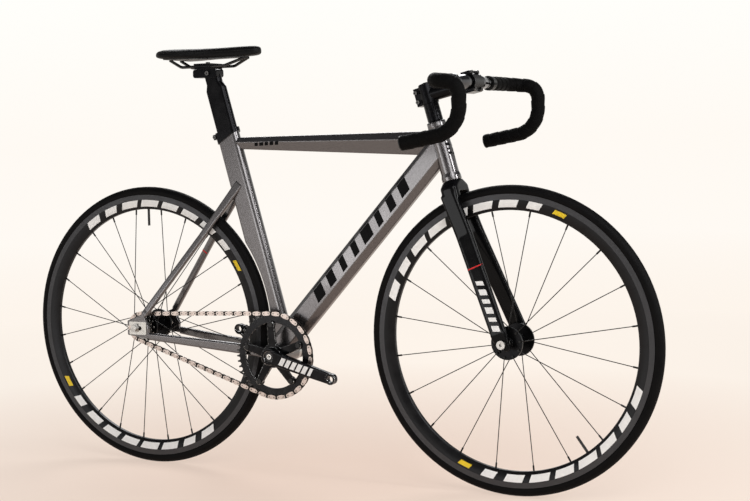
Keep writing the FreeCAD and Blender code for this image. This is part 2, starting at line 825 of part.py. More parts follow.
# Chain and sprockets, in mesh: rollers a pitch apart round the loop, tooth spaces where the rollers lie
ring_centre = bracket - Y_AXIS * mm("chain_line")
cog_centre = rear_axle - Y_AXIS * mm("chain_line")
on_ring, run, on_cog, lean = loop_links(chainstay_length)
to_cog = math.atan2(cog_centre.z - ring_centre.z, cog_centre.x - ring_centre.x)
tangent = math.pi / 2 - lean
ring_step = 2 * math.pi / mm("ring_teeth")
cog_step = 2 * math.pi / mm("cog_teeth")


def round_point(centre, radius, angle):
    """A point on a circle in the side view."""
    return centre + Vector(radius * math.cos(angle), 0, radius * math.sin(angle))


def loop_point(links):
    """The point a number of links along the chain's loop, from where it meets the chainring below."""
    if links < on_ring:
        return round_point(ring_centre, ring_pitch_radius, to_cog + tangent + links * ring_step)
    links -= on_ring
    above_ring = round_point(ring_centre, ring_pitch_radius, to_cog - tangent)
    above_cog = round_point(cog_centre, cog_pitch_radius, to_cog - tangent)
    if links < run:
        return above_ring + (above_cog - above_ring) * (links / run)
    links -= run
    if links < on_cog:
        return round_point(cog_centre, cog_pitch_radius, to_cog - tangent + links * cog_step)
    links -= on_cog
    below_cog = round_point(cog_centre, cog_pitch_radius, to_cog + tangent)
    below_ring = round_point(ring_centre, ring_pitch_radius, to_cog + tangent)
    return below_cog + (below_ring - below_cog) * (links / run)


def across(corners, y_start, thickness):
    """A prism on a polygon of (x, z) corners, from one Y to another."""
    spots = [Vector(x, y_start, z) for x, z in corners]
    face = Part.Face(Part.makePolygon(spots + spots[:1]))
    return face.extrude(Y_AXIS * thickness)


def link_plate(y_start):
    """A waisted link plate, centred on the origin and lying along X."""
    tall = mm("chain_plate_height") / 2
    corners = []
    for side in (1, -1):
        for degrees in (-90, -30, 30, 90):
            angle = math.radians(degrees)
            out = mm("chain_pitch") / 2 + tall * math.cos(angle)
            corners.append((side * out, side * tall * math.sin(angle)))
        corners.append((0.0, side * mm("chain_plate_waist") / 2))
    return across(corners, y_start, mm("chain_plate_thickness"))


def make_chain():
    """Inner links with their rollers and outer links of two plates, in turn round the loop."""
    inner_face = mm("chain_inner_width") / 2
    outer_face = inner_face + mm("chain_plate_thickness")
    sides = int(mm("roller_sides"))
    rollers = []
    for end in (-1, 1):
        spots = []
        for corner in range(sides):
            angle = (corner + 0.5) * 2 * math.pi / sides
            reach = mm("roller_diameter") / 2
            spots.append((end * mm("chain_pitch") / 2 + reach * math.cos(angle), reach * math.sin(angle)))
        rollers.append(across(spots, -inner_face, 2 * inner_face))
    near = link_plate(-outer_face)
    far = link_plate(inner_face)
    inner_link = near.fuse([far] + rollers).removeSplitter().Solids
    outer_link = [link_plate(-outer_face - mm("chain_plate_thickness")), link_plate(outer_face)]
    solids = []
    for number in range(chain_links):
        start = loop_point(number + mm("chain_phase"))
        end = loop_point((number + 1 + mm("chain_phase")) % chain_links)
        heading = math.degrees(math.atan2(end.z - start.z, end.x - start.x))
        place = Placement((start + end) * 0.5, Rotation(Y_AXIS, -heading))
        for solid in inner_link if number % 2 == 0 else outer_link:
            copy = solid.copy()
            copy.Placement = place
            solids.append(copy)
    feature("chain", Part.makeCompound(solids))


def sprocket(centre, pitch_radius, teeth, phase):
    """A toothed plate whose rounded spaces hold the chain's rollers."""
    step = 2 * math.pi / teeth
    space = mm("roller_diameter") / 2 + mm("roller_gap")
    tip_radius = pitch_radius + mm("tooth_tip_height")
    opening = math.radians(mm("tooth_space_angle"))
    edges = []
    for number in range(teeth):
        angle = phase + number * step
        middle = round_point(centre, pitch_radius, angle)
        start = round_point(middle, space, angle + math.pi + opening)
        floor = round_point(middle, space, angle + math.pi)
        end = round_point(middle, space, angle + math.pi - opening)
        tip_start = round_point(centre, tip_radius, angle + step * (0.5 - mm("tooth_tip_share")))
        tip_end = round_point(centre, tip_radius, angle + step * (0.5 + mm("tooth_tip_share")))
        following = round_point(centre, pitch_radius, angle + step)
        landing = round_point(following, space, angle + step + math.pi + opening)
        edges.append(Part.Arc(start, floor, end).toShape())
        edges.append(Part.LineSegment(end, tip_start).toShape())
        edges.append(Part.LineSegment(tip_start, tip_end).toShape())
        edges.append(Part.LineSegment(tip_end, landing).toShape())
    plate = Part.Face(Part.Wire(edges)).extrude(Y_AXIS * mm("tooth_thickness"))
    plate.translate(Y_AXIS * (-mm("tooth_thickness") / 2))
    return plate


make_chain()
cog_phase = to_cog - tangent + (mm("chain_phase") - on_ring - run) * cog_step
cog = sprocket(cog_centre, cog_pitch_radius, int(mm("cog_teeth")), cog_phase)
cog_boss_start = cog_centre - Y_AXIS * (mm("tooth_thickness") / 2)
cog_boss = Part.makeCylinder(mm("cog_boss_radius"), mm("cog_boss_width"), cog_boss_start, Y_AXIS)
cog_bore = Part.makeCylinder(mm("rear_neck_radius"), mm("rear_hub_width"), rear_axle, Y_AXIS * -1)
feature("rear_cog", cog.fuse(cog_boss).cut(cog_bore).removeSplitter())

lock_face = "-chain_line - tooth_thickness / 2"
lock_end = lock_face + " - lockring_width"
keep("cog_lockring", turned("cog_lockring_body", "XY_Plane", [
    ("rear_neck_radius", lock_face), ("lockring_radius", lock_face),
    ("lockring_radius", lock_end), ("rear_neck_radius", lock_end),
], at_rear))

# Chainring, on the inner side of the right crank's five-armed spider
arm_count = int(mm("spider_arms"))
first_arm = math.radians(mm("crank_angle")) + math.pi / arm_count
spider_angles = [first_arm + 2 * math.pi * arm / arm_count for arm in range(arm_count)]
ring_bolt_spots = [round_point(ring_centre, mm("ring_bolt_circle") / 2, angle) for angle in spider_angles]
ring_outer_y = mm("tooth_thickness") / 2
ring_phase = to_cog + tangent + mm("chain_phase") * ring_step
ring = sprocket(ring_centre, ring_pitch_radius, int(mm("ring_teeth")), ring_phase)
reach = Y_AXIS * mm("shell_width")
ring_hole = Part.makeCylinder(mm("ring_inner_radius"), reach.Length, ring_centre - reach * 0.5, Y_AXIS)
ring = ring.cut(ring_hole)
tabs = []
tab_holes = []
for spot in ring_bolt_spots:
    tab_start = spot - Y_AXIS * ring_outer_y
    tabs.append(Part.makeCylinder(mm("ring_tab_radius"), mm("tooth_thickness"), tab_start, Y_AXIS))
    tab_holes.append(Part.makeCylinder(mm("ring_bolt_radius"), reach.Length, spot - reach * 0.5, Y_AXIS))
feature("chainring", ring.fuse(tabs).removeSplitter().cut(tab_holes))


def arm_section(distance, width, outer_face, thickness):
    """A crank arm's cross-section at a distance from the spindle, its outer face at a given |Y|."""
    corner = mm("crank_edge_radius")
    near = -outer_face
    far = -outer_face + thickness
    flat = outline([(-width / 2, near, corner), (width / 2, near, corner),
                    (width / 2, far, corner), (-width / 2, far, corner)])
    angle = mm("crank_angle")
    heading = Vector(math.cos(math.radians(angle)), 0, math.sin(math.radians(angle)))
    return placed(flat, along(bracket + heading * distance, angle))


def make_crank_arm():
    """An arm from the spindle's boss to the pedal's eye, on the right side."""
    root = arm_section(0.0, mm("crank_root_width"), mm("crank_outer_face"), mm("crank_root_thickness"))
    tip = arm_section(mm("crank_length"), mm("crank_tip_width"), mm("crank_tip_outer_face"),
                      mm("crank_tip_thickness"))
    arm = loft([root, tip])
    boss_length = mm("crank_outer_face") - mm("crank_inner_face")
    boss_start = bracket - Y_AXIS * mm("crank_outer_face")
    boss = Part.makeCylinder(mm("crank_boss_radius"), boss_length, boss_start, Y_AXIS)
    angle = math.radians(mm("crank_angle"))
    pedal = round_point(bracket, mm("crank_length"), angle)
    eye_start = pedal - Y_AXIS * mm("crank_tip_outer_face")
    eye = Part.makeCylinder(mm("crank_tip_width") / 2, mm("crank_tip_thickness"), eye_start, Y_AXIS)
    bore = Part.makeCylinder(mm("spindle_radius"), mm("rear_hub_width"), bracket, Y_AXIS * -1)
    hole = Part.makeCylinder(mm("pedal_hole_radius"), mm("rear_hub_width"), pedal, Y_AXIS * -1)
    return arm.fuse([boss, eye]).removeSplitter(), [bore, hole]


def spider_arm(angle):
    """One tapered arm of the spider, from the boss to a chainring bolt."""
    reach = mm("ring_bolt_circle") / 2
    root = mm("spider_root_width") / 2
    tip = mm("spider_tip_width") / 2
    heading = Vector(math.cos(angle), 0, math.sin(angle))
    sideways = Vector(-heading.z, 0, heading.x)
    start = ring_centre - Y_AXIS * (ring_outer_y + mm("spider_thickness"))
    end = start + heading * reach
    corners = [start + sideways * root, end + sideways * tip, end - sideways * tip, start - sideways * root]
    face = Part.Face(Part.makePolygon(corners + corners[:1]))
    bar = face.extrude(Y_AXIS * mm("spider_thickness"))
    pad = Part.makeCylinder(tip, mm("spider_thickness"), end, Y_AXIS)
    return [bar, pad]


arm, arm_holes = make_crank_arm()
spider = [form for angle in spider_angles for form in spider_arm(angle)]
spider_start = ring_centre - Y_AXIS * (ring_outer_y + mm("spider_thickness"))
spider_hub = Part.makeCylinder(mm("spider_hub_radius"), mm("spider_thickness"), spider_start, Y_AXIS)
cup_room = Part.makeCylinder(value("cup_radius + cup_room"), mm("crank_inner_face"), bracket, Y_AXIS * -1)
spider = spider_hub.fuse(spider).removeSplitter().cut(cup_room)
right_crank = arm.fuse(spider).removeSplitter().cut(tab_holes + arm_holes)
feature("crank_right", right_crank)
half_turn = Placement(Vector(0, 0, 0), Rotation(Y_AXIS, 180), bracket)
left_crank = reflect(arm.cut(arm_holes))
left_crank.Placement = half_turn.multiply(left_crank.Placement)
feature("crank_left", left_crank)

ring_bolts = []
for spot in ring_bolt_spots:
    outer = spot - Y_AXIS * (ring_outer_y + mm("spider_thickness"))
    inner = spot + Y_AXIS * ring_outer_y
    shank = Part.makeCylinder(mm("ring_bolt_radius"), (inner - outer).Length, outer, Y_AXIS)
    cap = Part.makeCylinder(mm("ring_bolt_head_radius"), mm("ring_bolt_head_height"), outer, Y_AXIS * -1)
    nut = Part.makeCylinder(mm("ring_bolt_head_radius"), mm("ring_bolt_head_height"), inner, Y_AXIS)
    ring_bolts.append(shank.fuse([cap, nut]).removeSplitter().Solids[0])
feature("chainring_bolts", Part.makeCompound(ring_bolts))

# Bottom bracket: the shell, its bearing cups, and the spindle that joins the cranks
at_bracket = Placement(bracket, Rotation())
keep("bottom_bracket_shell", turned("bottom_bracket_shell_body", "XY_Plane", [
    ("shell_bore_radius", "-shell_width / 2"), ("shell_radius", "-shell_width / 2"),
    ("shell_radius", "shell_width / 2"), ("shell_bore_radius", "shell_width / 2"),
], at_bracket))
cup = turned("bottom_bracket_cup", "XY_Plane", [
    ("spindle_radius + running_gap", "shell_width / 2 - cup_thread_depth"),
    ("shell_bore_radius", "shell_width / 2 - cup_thread_depth"), ("shell_bore_radius", "shell_width / 2"),
    ("cup_radius", "shell_width / 2"), ("cup_radius", "shell_width / 2 + cup_width"),
    ("spindle_radius + running_gap", "shell_width / 2 + cup_width"),
], at_bracket)
keep("bottom_bracket_cups", group("bottom_bracket_cups", cup, mirrored("bottom_bracket_cup", cup)))
keep("crank_spindle", turned("crank_spindle_body", "XY_Plane", [
    ("crank_bolt_radius", "-spindle_half_length"), ("spindle_radius", "-spindle_half_length"),
    ("spindle_radius", "spindle_half_length"), ("crank_bolt_radius", "spindle_half_length"),
], at_bracket))
bolt = socket_bolt("crank_bolt", "XY_Plane", "crank_bolt_radius", "crank_bolt_length", "spindle_radius",
                   "crank_bolt_head_height", "crank_bolt_socket", "spindle_half_length", at_bracket)
keep("crank_bolts", group("crank_bolts", bolt, mirrored("crank_bolt", bolt)))


# Seat tube: a rounded nose, flat sides and a narrower back, cut away behind for the wheel
def seat_section(inset, chord):
    """The seat tube's section, or a like one a given distance inside it."""
    half = mm("seat_tube_width") / 2 - inset
    rear = mm("seat_tube_rear_width") / 2 - inset
    nose_round = mm("seat_tube_nose_round") - inset
    rear_round = mm("seat_tube_rear_round") - inset
    front = chord / 2
    return outline([(front, half, nose_round), (-front, rear, rear_round),
                    (-front, -rear, rear_round), (front, -half, nose_round)])


def seat_prism(inset, start, end):
    """The seat tube's section pulled along its axis between two stations."""
    flat = seat_section(inset, mm("seat_tube_chord") - 2 * inset)
    return extruded(flat, along(seat(start), seat_lean), end - start)


def across_rod(radius, centre, width):
    """A round bar across the bicycle, centred on a point."""
    return Part.makeCylinder(radius, width, centre - Y_AXIS * (width / 2), Y_AXIS)


tube_top = mm("seat_tube_length")
post_inset = mm("seat_tube_wall")
seat_outer = seat_prism(0.0, mm("seat_tube_start"), tube_top)
wheel_room = across_rod(mm("wheel_radius") + mm("wheel_cutaway_gap"), rear_axle, mm("rear_hub_width"))
shell_room = across_rod(mm("shell_radius"), bracket, mm("rear_hub_width"))
socket = seat_prism(post_inset - mm("post_slide_gap"), tube_top - mm("seat_socket_depth"), tube_top)
seat_tube_solid = seat_outer.cut([wheel_room, shell_room])
feature("seat_tube", seat_tube_solid.cut(socket))

# Head tube, with a band at each end, and the bearings in it
head_foot = along(steer(mm("fork_length")), steer_angle)
keep("head_tube", turned("head_tube_body", "XZ_Plane", [
    ("head_bore_radius", "0"), ("head_tube_foot_radius", "0"), ("head_tube_foot_radius", "head_tube_band"),
    ("head_tube_radius", "2 * head_tube_band"), ("head_tube_radius", "head_tube_length - 2 * head_tube_band"),
    ("head_tube_top_radius", "head_tube_length - head_tube_band"),
    ("head_tube_top_radius", "head_tube_length"), ("head_bore_radius", "head_tube_length"),
], head_foot))


def bearing_ring(name, start):
    """A steering bearing in the head tube, from a station up."""
    end = start + " + headset_bearing_width"
    inner = "steerer_radius + running_gap"
    return turned(name, "XZ_Plane", [
        (inner, start), ("head_bore_radius", start), ("head_bore_radius", end), (inner, end),
    ], head_foot)


keep("headset_bearings", group("headset_bearings", bearing_ring("lower_bearing", "0"),
                               bearing_ring("upper_bearing", "head_tube_length - headset_bearing_width")))


# Top tube: six flats, shallow at the seat tube and deep at the head tube
def crossing_section(top, up, fore, depth, width, crease):
    """The top tube's six-sided section in the plane of an axis that it meets."""
    flat = mm("top_tube_flat_width") / 2
    edge = mm("top_tube_edge_round")
    corners = [(-flat, 0.0, edge), (-width / 2, -crease, edge), (-flat, -depth, edge),
               (flat, -depth, edge), (width / 2, -crease, edge), (flat, 0.0, edge)]
    return placed(outline(corners), Placement(top, Rotation(Y_AXIS, up, fore)))


head_top = mm("fork_length") + mm("head_tube_length")
head_room = Part.makeCylinder(mm("head_tube_radius"), mm("head_tube_length"), steer(mm("fork_length")),
                              steer_up)
head_flare = Part.makeCone(mm("head_tube_radius"), mm("head_tube_top_radius"), mm("head_tube_band"),
                           steer(head_top - 2 * mm("head_tube_band")), steer_up)
head_band = Part.makeCylinder(mm("head_tube_top_radius"), mm("head_tube_band"),
                              steer(head_top - mm("head_tube_band")), steer_up)
head_room = head_room.fuse([head_flare, head_band])
top_start = seat(tube_top - mm("top_tube_rear_below")) + seat_fore * mm("top_tube_rear_forward")
top_rear = crossing_section(top_start, seat_up, seat_fore, mm("top_tube_rear_depth"),
                            mm("top_tube_rear_width"), mm("top_tube_rear_crease"))
top_end = steer(head_top - mm("top_tube_front_below"))
top_front = crossing_section(top_end, steer_up, steer_fore, mm("top_tube_front_depth"),
                             mm("top_tube_front_width"), mm("top_tube_front_crease"))
top_tube_whole = loft([top_rear, top_front])
top_tube = top_tube_whole.cut([seat_outer, head_room])
feature("top_tube", top_tube)

# Down tube: flat sides, a broad upper flat and a narrow lower one, from the bottom bracket to the head tube
down_end = steer(mm("fork_length") + mm("down_tube_head_station"))
reach = down_end - bracket
down_angle = math.atan2(reach.z, reach.x) - math.asin(mm("down_tube_above_bracket") / reach.Length)
down_length = math.sqrt(reach.Length ** 2 - mm("down_tube_above_bracket") ** 2)
down_fore = Vector(math.cos(down_angle), 0, math.sin(down_angle))
upper = -mm("down_tube_depth") / 2
lower = mm("down_tube_depth") / 2
edge = mm("down_tube_edge_round")
corners = [
    (upper, mm("down_tube_flat_width") / 2, edge),
    (upper + mm("down_tube_shoulder"), mm("down_tube_width") / 2, edge),
    (lower - mm("down_tube_chamfer"), mm("down_tube_width") / 2, edge),
    (lower, mm("down_tube_nose_width") / 2, edge),
]
corners += [(u, -w, radius) for u, w, radius in reversed(corners)]
down_place = along(down_end - down_fore * down_length, math.degrees(down_angle))
down_tube = extruded(outline(corners), down_place, down_length + mm("head_tube_radius"))
ahead_of_head = Part.makeBox(wheelbase, wheelbase, wheelbase)
ahead_of_head.Placement = along(steer(0.0) - Y_AXIS * wheelbase / 2, steer_angle)
feature("down_tube", down_tube.cut([shell_room, ahead_of_head]).cut(head_room).cut(seat_outer).cut(top_tube))


# Rear dropouts: plates with a slot open to the rear, and a lobe into each stay
chain_end = rear_axle + Vector(mm("chainstay_end_forward"), 0, -mm("chainstay_end_below"))
seat_end = rear_axle + Vector(mm("seatstay_end_forward"), 0, mm("seatstay_end_above"))
seat_join = seat(mm("seatstay_top_station"))
chain_way = (bracket - chain_end).normalize()
seat_way = (seat_join - seat_end).normalize()


def lobe(end, way):
    """The four corners of a dropout's tongue from its root to its tip and back, about the axle."""
    root = end - way * mm("dropout_lobe_root") - rear_axle
    tip = end + way * mm("dropout_lobe_length") - rear_axle
    aside = Vector(way.z, 0, -way.x) * (mm("dropout_lobe_width") / 2)
    return [(spot.x, spot.z) for spot in (root + aside, tip + aside, tip - aside, root - aside)]


def slot_room(thickness):
    """The room for the axle and its way out to the rear, at a thickness across."""
    radius = mm("rear_axle_radius") + mm("seat_gap")
    front = rear_axle + X_AXIS * (mm("dropout_slot_front") - radius)
    end = across_rod(radius, front, thickness)
    length = mm("dropout_slot_front") + 2 * mm("dropout_tail")
    way = Part.makeBox(length, thickness, 2 * radius, front + Vector(-length, -thickness / 2, -radius))
    return end.fuse(way)


edge = mm("dropout_round")
spots = [(-mm("dropout_tail"), -mm("dropout_prong"))] + lobe(chain_end, chain_way)
spots += [(mm("dropout_throat"), 0.0)] + lobe(seat_end, seat_way)
spots += [(-mm("dropout_tail"), mm("dropout_prong"))]
inner_face = mm("rear_hub_width") / 2
slot = slot_room(2 * mm("rear_hub_width"))
plate = side_plate([(u, w, edge) for u, w in spots], rear_axle, inner_face, mm("dropout_thickness"))
dropout = plate.cut(slot)
feature("dropout_left", dropout)
feature("dropout_right", reflect(dropout))
tall = mm("dropout_plate_height") / 2
spots = [(-mm("dropout_plate_tail"), -tall), (mm("dropout_plate_front"), -tall),
         (mm("dropout_plate_front"), tall), (-mm("dropout_plate_tail"), tall)]
face_plate = side_plate([(u, w, edge) for u, w in spots], rear_axle, inner_face + mm("dropout_thickness"),
                        mm("dropout_plate_thickness")).cut(slot)
feature("dropout_plates", Part.makeCompound([face_plate.Solids[0], reflect(face_plate.Solids[0])]))


# Stays: each runs straight in side view and is waisted beside the tyre
def stay_section(spot, way, spread, depth, width):
    """A stay's rounded section across its run, centred at a distance to the left."""
    edge = mm("stay_edge_round")
    flat = outline([(depth / 2, width / 2, edge), (-depth / 2, width / 2, edge),
                    (-depth / 2, -width / 2, edge), (depth / 2, -width / 2, edge)])
    angle = math.degrees(math.atan2(way.z, way.x))
    return placed(flat, along(spot + Y_AXIS * spread, angle))


tip_spread = inner_face + mm("dropout_thickness") / 2
run_length = (bracket - chain_end).Length
waist_spot = bracket - chain_way * (run_length * mm("chainstay_waist_share"))
stay = loft([
    stay_section(chain_end, chain_way, tip_spread, mm("chainstay_tip_depth"), mm("chainstay_tip_width")),
    stay_section(waist_spot, chain_way, mm("chainstay_waist_spread"), mm("chainstay_waist_depth"),
                 mm("chainstay_waist_width")),
    stay_section(bracket, chain_way, mm("chainstay_root_spread"), mm("chainstay_root_depth"),
                 mm("chainstay_root_width")),
])
stay = stay.cut([shell_room, dropout, seat_tube_solid])
feature("chainstay_left", stay)
feature("chainstay_right", reflect(stay))

run_length = (seat_join - seat_end).Length
waist_spot = seat_end + seat_way * (run_length * mm("seatstay_waist_share"))
stay = loft([
    stay_section(seat_end, seat_way, tip_spread, mm("seatstay_tip_depth"), mm("seatstay_width")),
    stay_section(waist_spot, seat_way, mm("seatstay_waist_spread"), mm("seatstay_tip_depth"),
                 mm("seatstay_width")),
    stay_section(seat_join, seat_way, mm("seatstay_top_spread"), mm("seatstay_top_depth"),
                 mm("seatstay_width")),
])
stay = stay.cut([dropout, seat_outer])
feature("seatstay_left", stay)
feature("seatstay_right", reflect(stay))

# Seat collar: a slanted band round the top of the seat tube, drawn tight by a bolt behind
band_start = tube_top - mm("collar_rear_height") - mm("collar_front_height")
band_end = tube_top + mm("collar_lip")
band = seat_prism(-mm("collar_wall"), band_start, band_end).cut(seat_prism(0.0, band_start, band_end))
front = mm("seat_tube_chord")
spots = []
for u, station in ((front, band_end), (-front, band_end)):
    spots.append(seat(station) + seat_fore * u)
half_chord = mm("seat_tube_chord") / 2
rise = (mm("collar_rear_height") - mm("collar_front_height")) / mm("seat_tube_chord")
for u in (-front, front):
    height = mm("collar_front_height") + rise * (half_chord - u)
    spots.append(seat(tube_top - height) + seat_fore * u)
width = 2 * mm("seat_tube_width")
band = band.common(across([(spot.x, spot.z) for spot in spots], -width / 2, width))
ear_middle = seat(tube_top - mm("collar_ear_height") / 2)
ear_middle = ear_middle - seat_fore * (half_chord + mm("collar_ear_length") / 2)
ear = Part.makeBox(mm("collar_ear_length"), mm("collar_ear_width"), mm("collar_ear_height"))
ear.translate(Vector(-mm("collar_ear_length") / 2, -mm("collar_ear_width") / 2, -mm("collar_ear_height") / 2))
ear.Placement = along(ear_middle, seat_lean).multiply(ear.Placement)
bolt_room = across_rod(value("collar_bolt_radius + seat_gap"), ear_middle, 2 * mm("collar_ear_width"))
head_seat = Part.makeCylinder(value("collar_bolt_head_radius + seat_gap"), mm("collar_ear_width"),
                              ear_middle - Y_AXIS * value("collar_ear_width / 2"), -Y_AXIS)
collar = band.fuse(ear).removeSplitter().cut(seat_prism(0.0, band_start, band_end))
feature("seat_collar", collar.cut([bolt_room, head_seat]))
keep("seat_collar_bolt", socket_bolt("seat_collar_bolt_body", "XY_Plane", "collar_bolt_radius",
                                     "collar_ear_width", "collar_bolt_head_radius", "collar_bolt_head_height",
                                     "collar_bolt_socket", "collar_ear_width / 2",
                                     Placement(ear_middle, Rotation(Z_AXIS, 180))))

# Seatpost: slides in the seat tube, and its head carries the clamp for the saddle's rails
post_top = tube_top + mm("post_exposed")
head_middle = seat(post_top + mm("post_neck_height") + mm("post_head_height") / 2)
head_middle = head_middle - X_AXIS * mm("post_head_setback")
post = seat_prism(post_inset, tube_top - mm("post_insertion"), post_top)
full = seat_section(post_inset, mm("seat_tube_chord") - 2 * post_inset)
slim = seat_section(post_inset, mm("post_neck_chord"))
neck_middle = post_top + mm("post_neck_height") / 2
neck_top = post_top + mm("post_neck_height") + mm("post_head_height") / 2
neck = loft([placed(full, along(seat(post_top), seat_lean)),
             placed(slim, along(seat(neck_middle), seat_lean)),
             placed(slim, along(seat(neck_top), seat_lean))])
long = mm("post_head_length") / 2
tall = mm("post_head_height") / 2
edge = mm("post_head_round")
head_corners = [(-long, -tall, edge), (long, -tall, edge), (long, tall, edge), (-long, tall, edge)]
head = side_plate(head_corners, head_middle, -mm("post_head_width") / 2, mm("post_head_width"))
pivot = head_middle + X_AXIS * mm("cradle_pivot_forward")
pivot_room = across_rod(mm("cradle_bolt_radius"), pivot, 2 * mm("post_head_width"))
rail_middle = head_middle + Z_AXIS * mm("rail_above_head")
clamp_face = rail_middle + Z_AXIS * mm("cradle_height")
clamp_room = Part.makeCylinder(mm("cradle_bolt_radius"), mm("cradle_bolt_length"), clamp_face, Z_AXIS * -1)
feature("seatpost", post.fuse([neck, head]).removeSplitter().cut([pivot_room, clamp_room]))


# Saddle rails: two bent rods, from the back of the shell under the clamp and up into the nose
def bent_path(spots, radius):
    """A wire through points with each bend rounded."""
    edges = []
    start = spots[0]
    for number in range(1, len(spots) - 1):
        spot = spots[number]
        back = (spots[number - 1] - spot).normalize()
        ahead = (spots[number + 1] - spot).normalize()
        half = back.getAngle(ahead) / 2.0
        leave = spot + back * (radius / math.tan(half))
        meet = spot + ahead * (radius / math.tan(half))
        crest = spot + (back + ahead).normalize() * (radius / math.sin(half) - radius)
        edges.append(Part.LineSegment(start, leave).toShape())
        edges.append(Part.Arc(leave, crest, meet).toShape())
        start = meet
    edges.append(Part.LineSegment(start, spots[-1]).toShape())
    return Part.Wire(edges)


def swept(path, radius):
    """A round bar along a path."""
    first = path.Edges[0]
    start = first.valueAt(first.FirstParameter)
    heading = first.tangentAt(first.FirstParameter)
    ring = Part.Wire([Part.Circle(start, heading, radius).toShape()])
    return path.makePipeShell([ring], True, False)


saddle_floor = rail_middle + Z_AXIS * mm("saddle_above_rails")
shell_floor = value("saddle_above_rails - side_gap - saddle_shell_thickness")
half_run = mm("rail_length") / 2
rail_path = bent_path([
    rail_middle + Vector(-half_run - mm("rail_rear_run"), mm("rail_spread"), shell_floor),
    rail_middle + Vector(-half_run, mm("rail_spread"), 0),
    rail_middle + Vector(half_run, mm("rail_spread"), 0),
    rail_middle + Vector(half_run + mm("rail_nose_run"), mm("rail_nose_spread"), shell_floor),
], mm("rail_bend"))
above = Part.makeBox(wheelbase, wheelbase, mm("saddle_length"))
above.translate(rail_middle + Vector(-wheelbase / 2, -wheelbase / 2, shell_floor))
rail = swept(rail_path, mm("rail_radius")).cut(above)
feature("saddle_rails", Part.makeCompound([rail.Solids[0], reflect(rail.Solids[0])]))

# Saddle clamp: a lower and an upper cradle with the rails between, and the bolts that hold them
grooves = []
for side in (1, -1):
    start = rail_middle + Vector(-mm("cradle_length"), side * mm("rail_spread"), 0)
    groove_radius = mm("rail_radius") + mm("cradle_groove_gap")
    grooves.append(Part.makeCylinder(groove_radius, 2 * mm("cradle_length"), start, X_AXIS))


def cradle(low, high):
    """A block over both rails between two heights, grooved for them and drilled for the bolt."""
    corner = rail_middle + Vector(-mm("cradle_length") / 2, -mm("cradle_width") / 2, low)
    block = Part.makeBox(mm("cradle_length"), mm("cradle_width"), high - low, corner)
    return block.cut(grooves + [clamp_room])


head_top_below = mm("post_head_height") / 2 - mm("rail_above_head")
half_split = mm("cradle_split") / 2
lower_cradle = cradle(head_top_below, -half_split)
upper_cradle = cradle(half_split, mm("cradle_height"))
feature("saddle_clamp", Part.makeCompound([lower_cradle.Solids[0], upper_cradle.Solids[0]]))
clamp_bolt = socket_bolt("saddle_clamp_bolt", "XZ_Plane", "cradle_bolt_radius", "cradle_bolt_length",
                         "cradle_bolt_head_radius", "cradle_bolt_head_height", "cradle_bolt_socket", "0",
                         Placement(clamp_face, Rotation()))
pivot_bolt = socket_bolt("saddle_pivot_bolt", "XY_Plane", "cradle_bolt_radius", "post_head_width",
                         "cradle_bolt_head_radius", "cradle_bolt_head_height", "cradle_bolt_socket",
                         "post_head_width / 2", Placement(pivot, Rotation(Z_AXIS, 180)))
keep("saddle_clamp_bolts", group("saddle_clamp_bolts", clamp_bolt, pivot_bolt))

# Saddle: a padded cover with a narrow nose, on a stiff shell
saddle_tail = saddle_floor + X_AXIS * (mm("saddle_nose_ahead") - mm("saddle_length"))
# Each section: share of the length, half width, crown and underside as shares of the width and the thickness
SADDLE_SECTIONS = [
    (0.000, 0.40, 0.80, 0.40), (0.045, 0.80, 0.96, 0.12), (0.130, 1.00, 1.00, 0.00),
    (0.225, 0.96, 0.99, 0.00), (0.370, 0.69, 0.95, 0.00), (0.520, 0.41, 0.93, 0.00),
    (0.670, 0.31, 0.94, 0.00), (0.860, 0.27, 0.96, 0.00), (0.955, 0.21, 0.90, 0.10),
    (1.000, 0.09, 0.66, 0.36),
]


def saddle_section(share, half_share, crown_share, under_share):
    """A section across the saddle: flat below, sides leaning out, and a crowned top."""
    half = half_share * mm("saddle_width") / 2
    crown = crown_share * mm("saddle_thickness")
    under = under_share * mm("saddle_thickness")
    shoulder = under + (crown - under) * mm("saddle_shoulder_share")
    foot = half * mm("saddle_foot_share")
    origin = saddle_tail + X_AXIS * (share * mm("saddle_length"))
    low_right = origin + Vector(0, -foot, under)
    low_left = origin + Vector(0, foot, under)
    left = origin + Vector(0, half, shoulder)
    right = origin + Vector(0, -half, shoulder)
    top = origin + Vector(0, 0, crown)
    return Part.Wire([
        Part.LineSegment(low_right, low_left).toShape(), Part.LineSegment(low_left, left).toShape(),
        Part.Arc(left, top, right).toShape(), Part.LineSegment(right, low_right).toShape(),
    ])


feature("saddle_cover", loft([saddle_section(*section) for section in SADDLE_SECTIONS], False))
plan = []
for share, half_share, crown_share, under_share in SADDLE_SECTIONS[2:8]:
    half = half_share * mm("saddle_width") / 2 * mm("saddle_shell_share")
    plan.append((saddle_tail.x + share * mm("saddle_length"), half))
edge = mm("saddle_shell_thickness")
rim = [(x, -half, edge) for x, half in plan] + [(x, half, edge) for x, half in reversed(plan)]
shell_place = Placement(Vector(0, 0, rail_middle.z + shell_floor), Rotation())
feature("saddle_shell", extruded(outline(rim), shell_place, mm("saddle_shell_thickness")))


# Fork: a moulded crown and two straight blades that spread to flat tips for the axle
blade_top = steer(mm("blade_top_station")) - X_AXIS * mm("blade_top_setback")
blade_way = (front_axle - blade_top).normalize()
blade_length = (front_axle - blade_top).Length
tip_inner = mm("front_hub_width") / 2
tip_middle = tip_inner + mm("tip_thickness") / 2


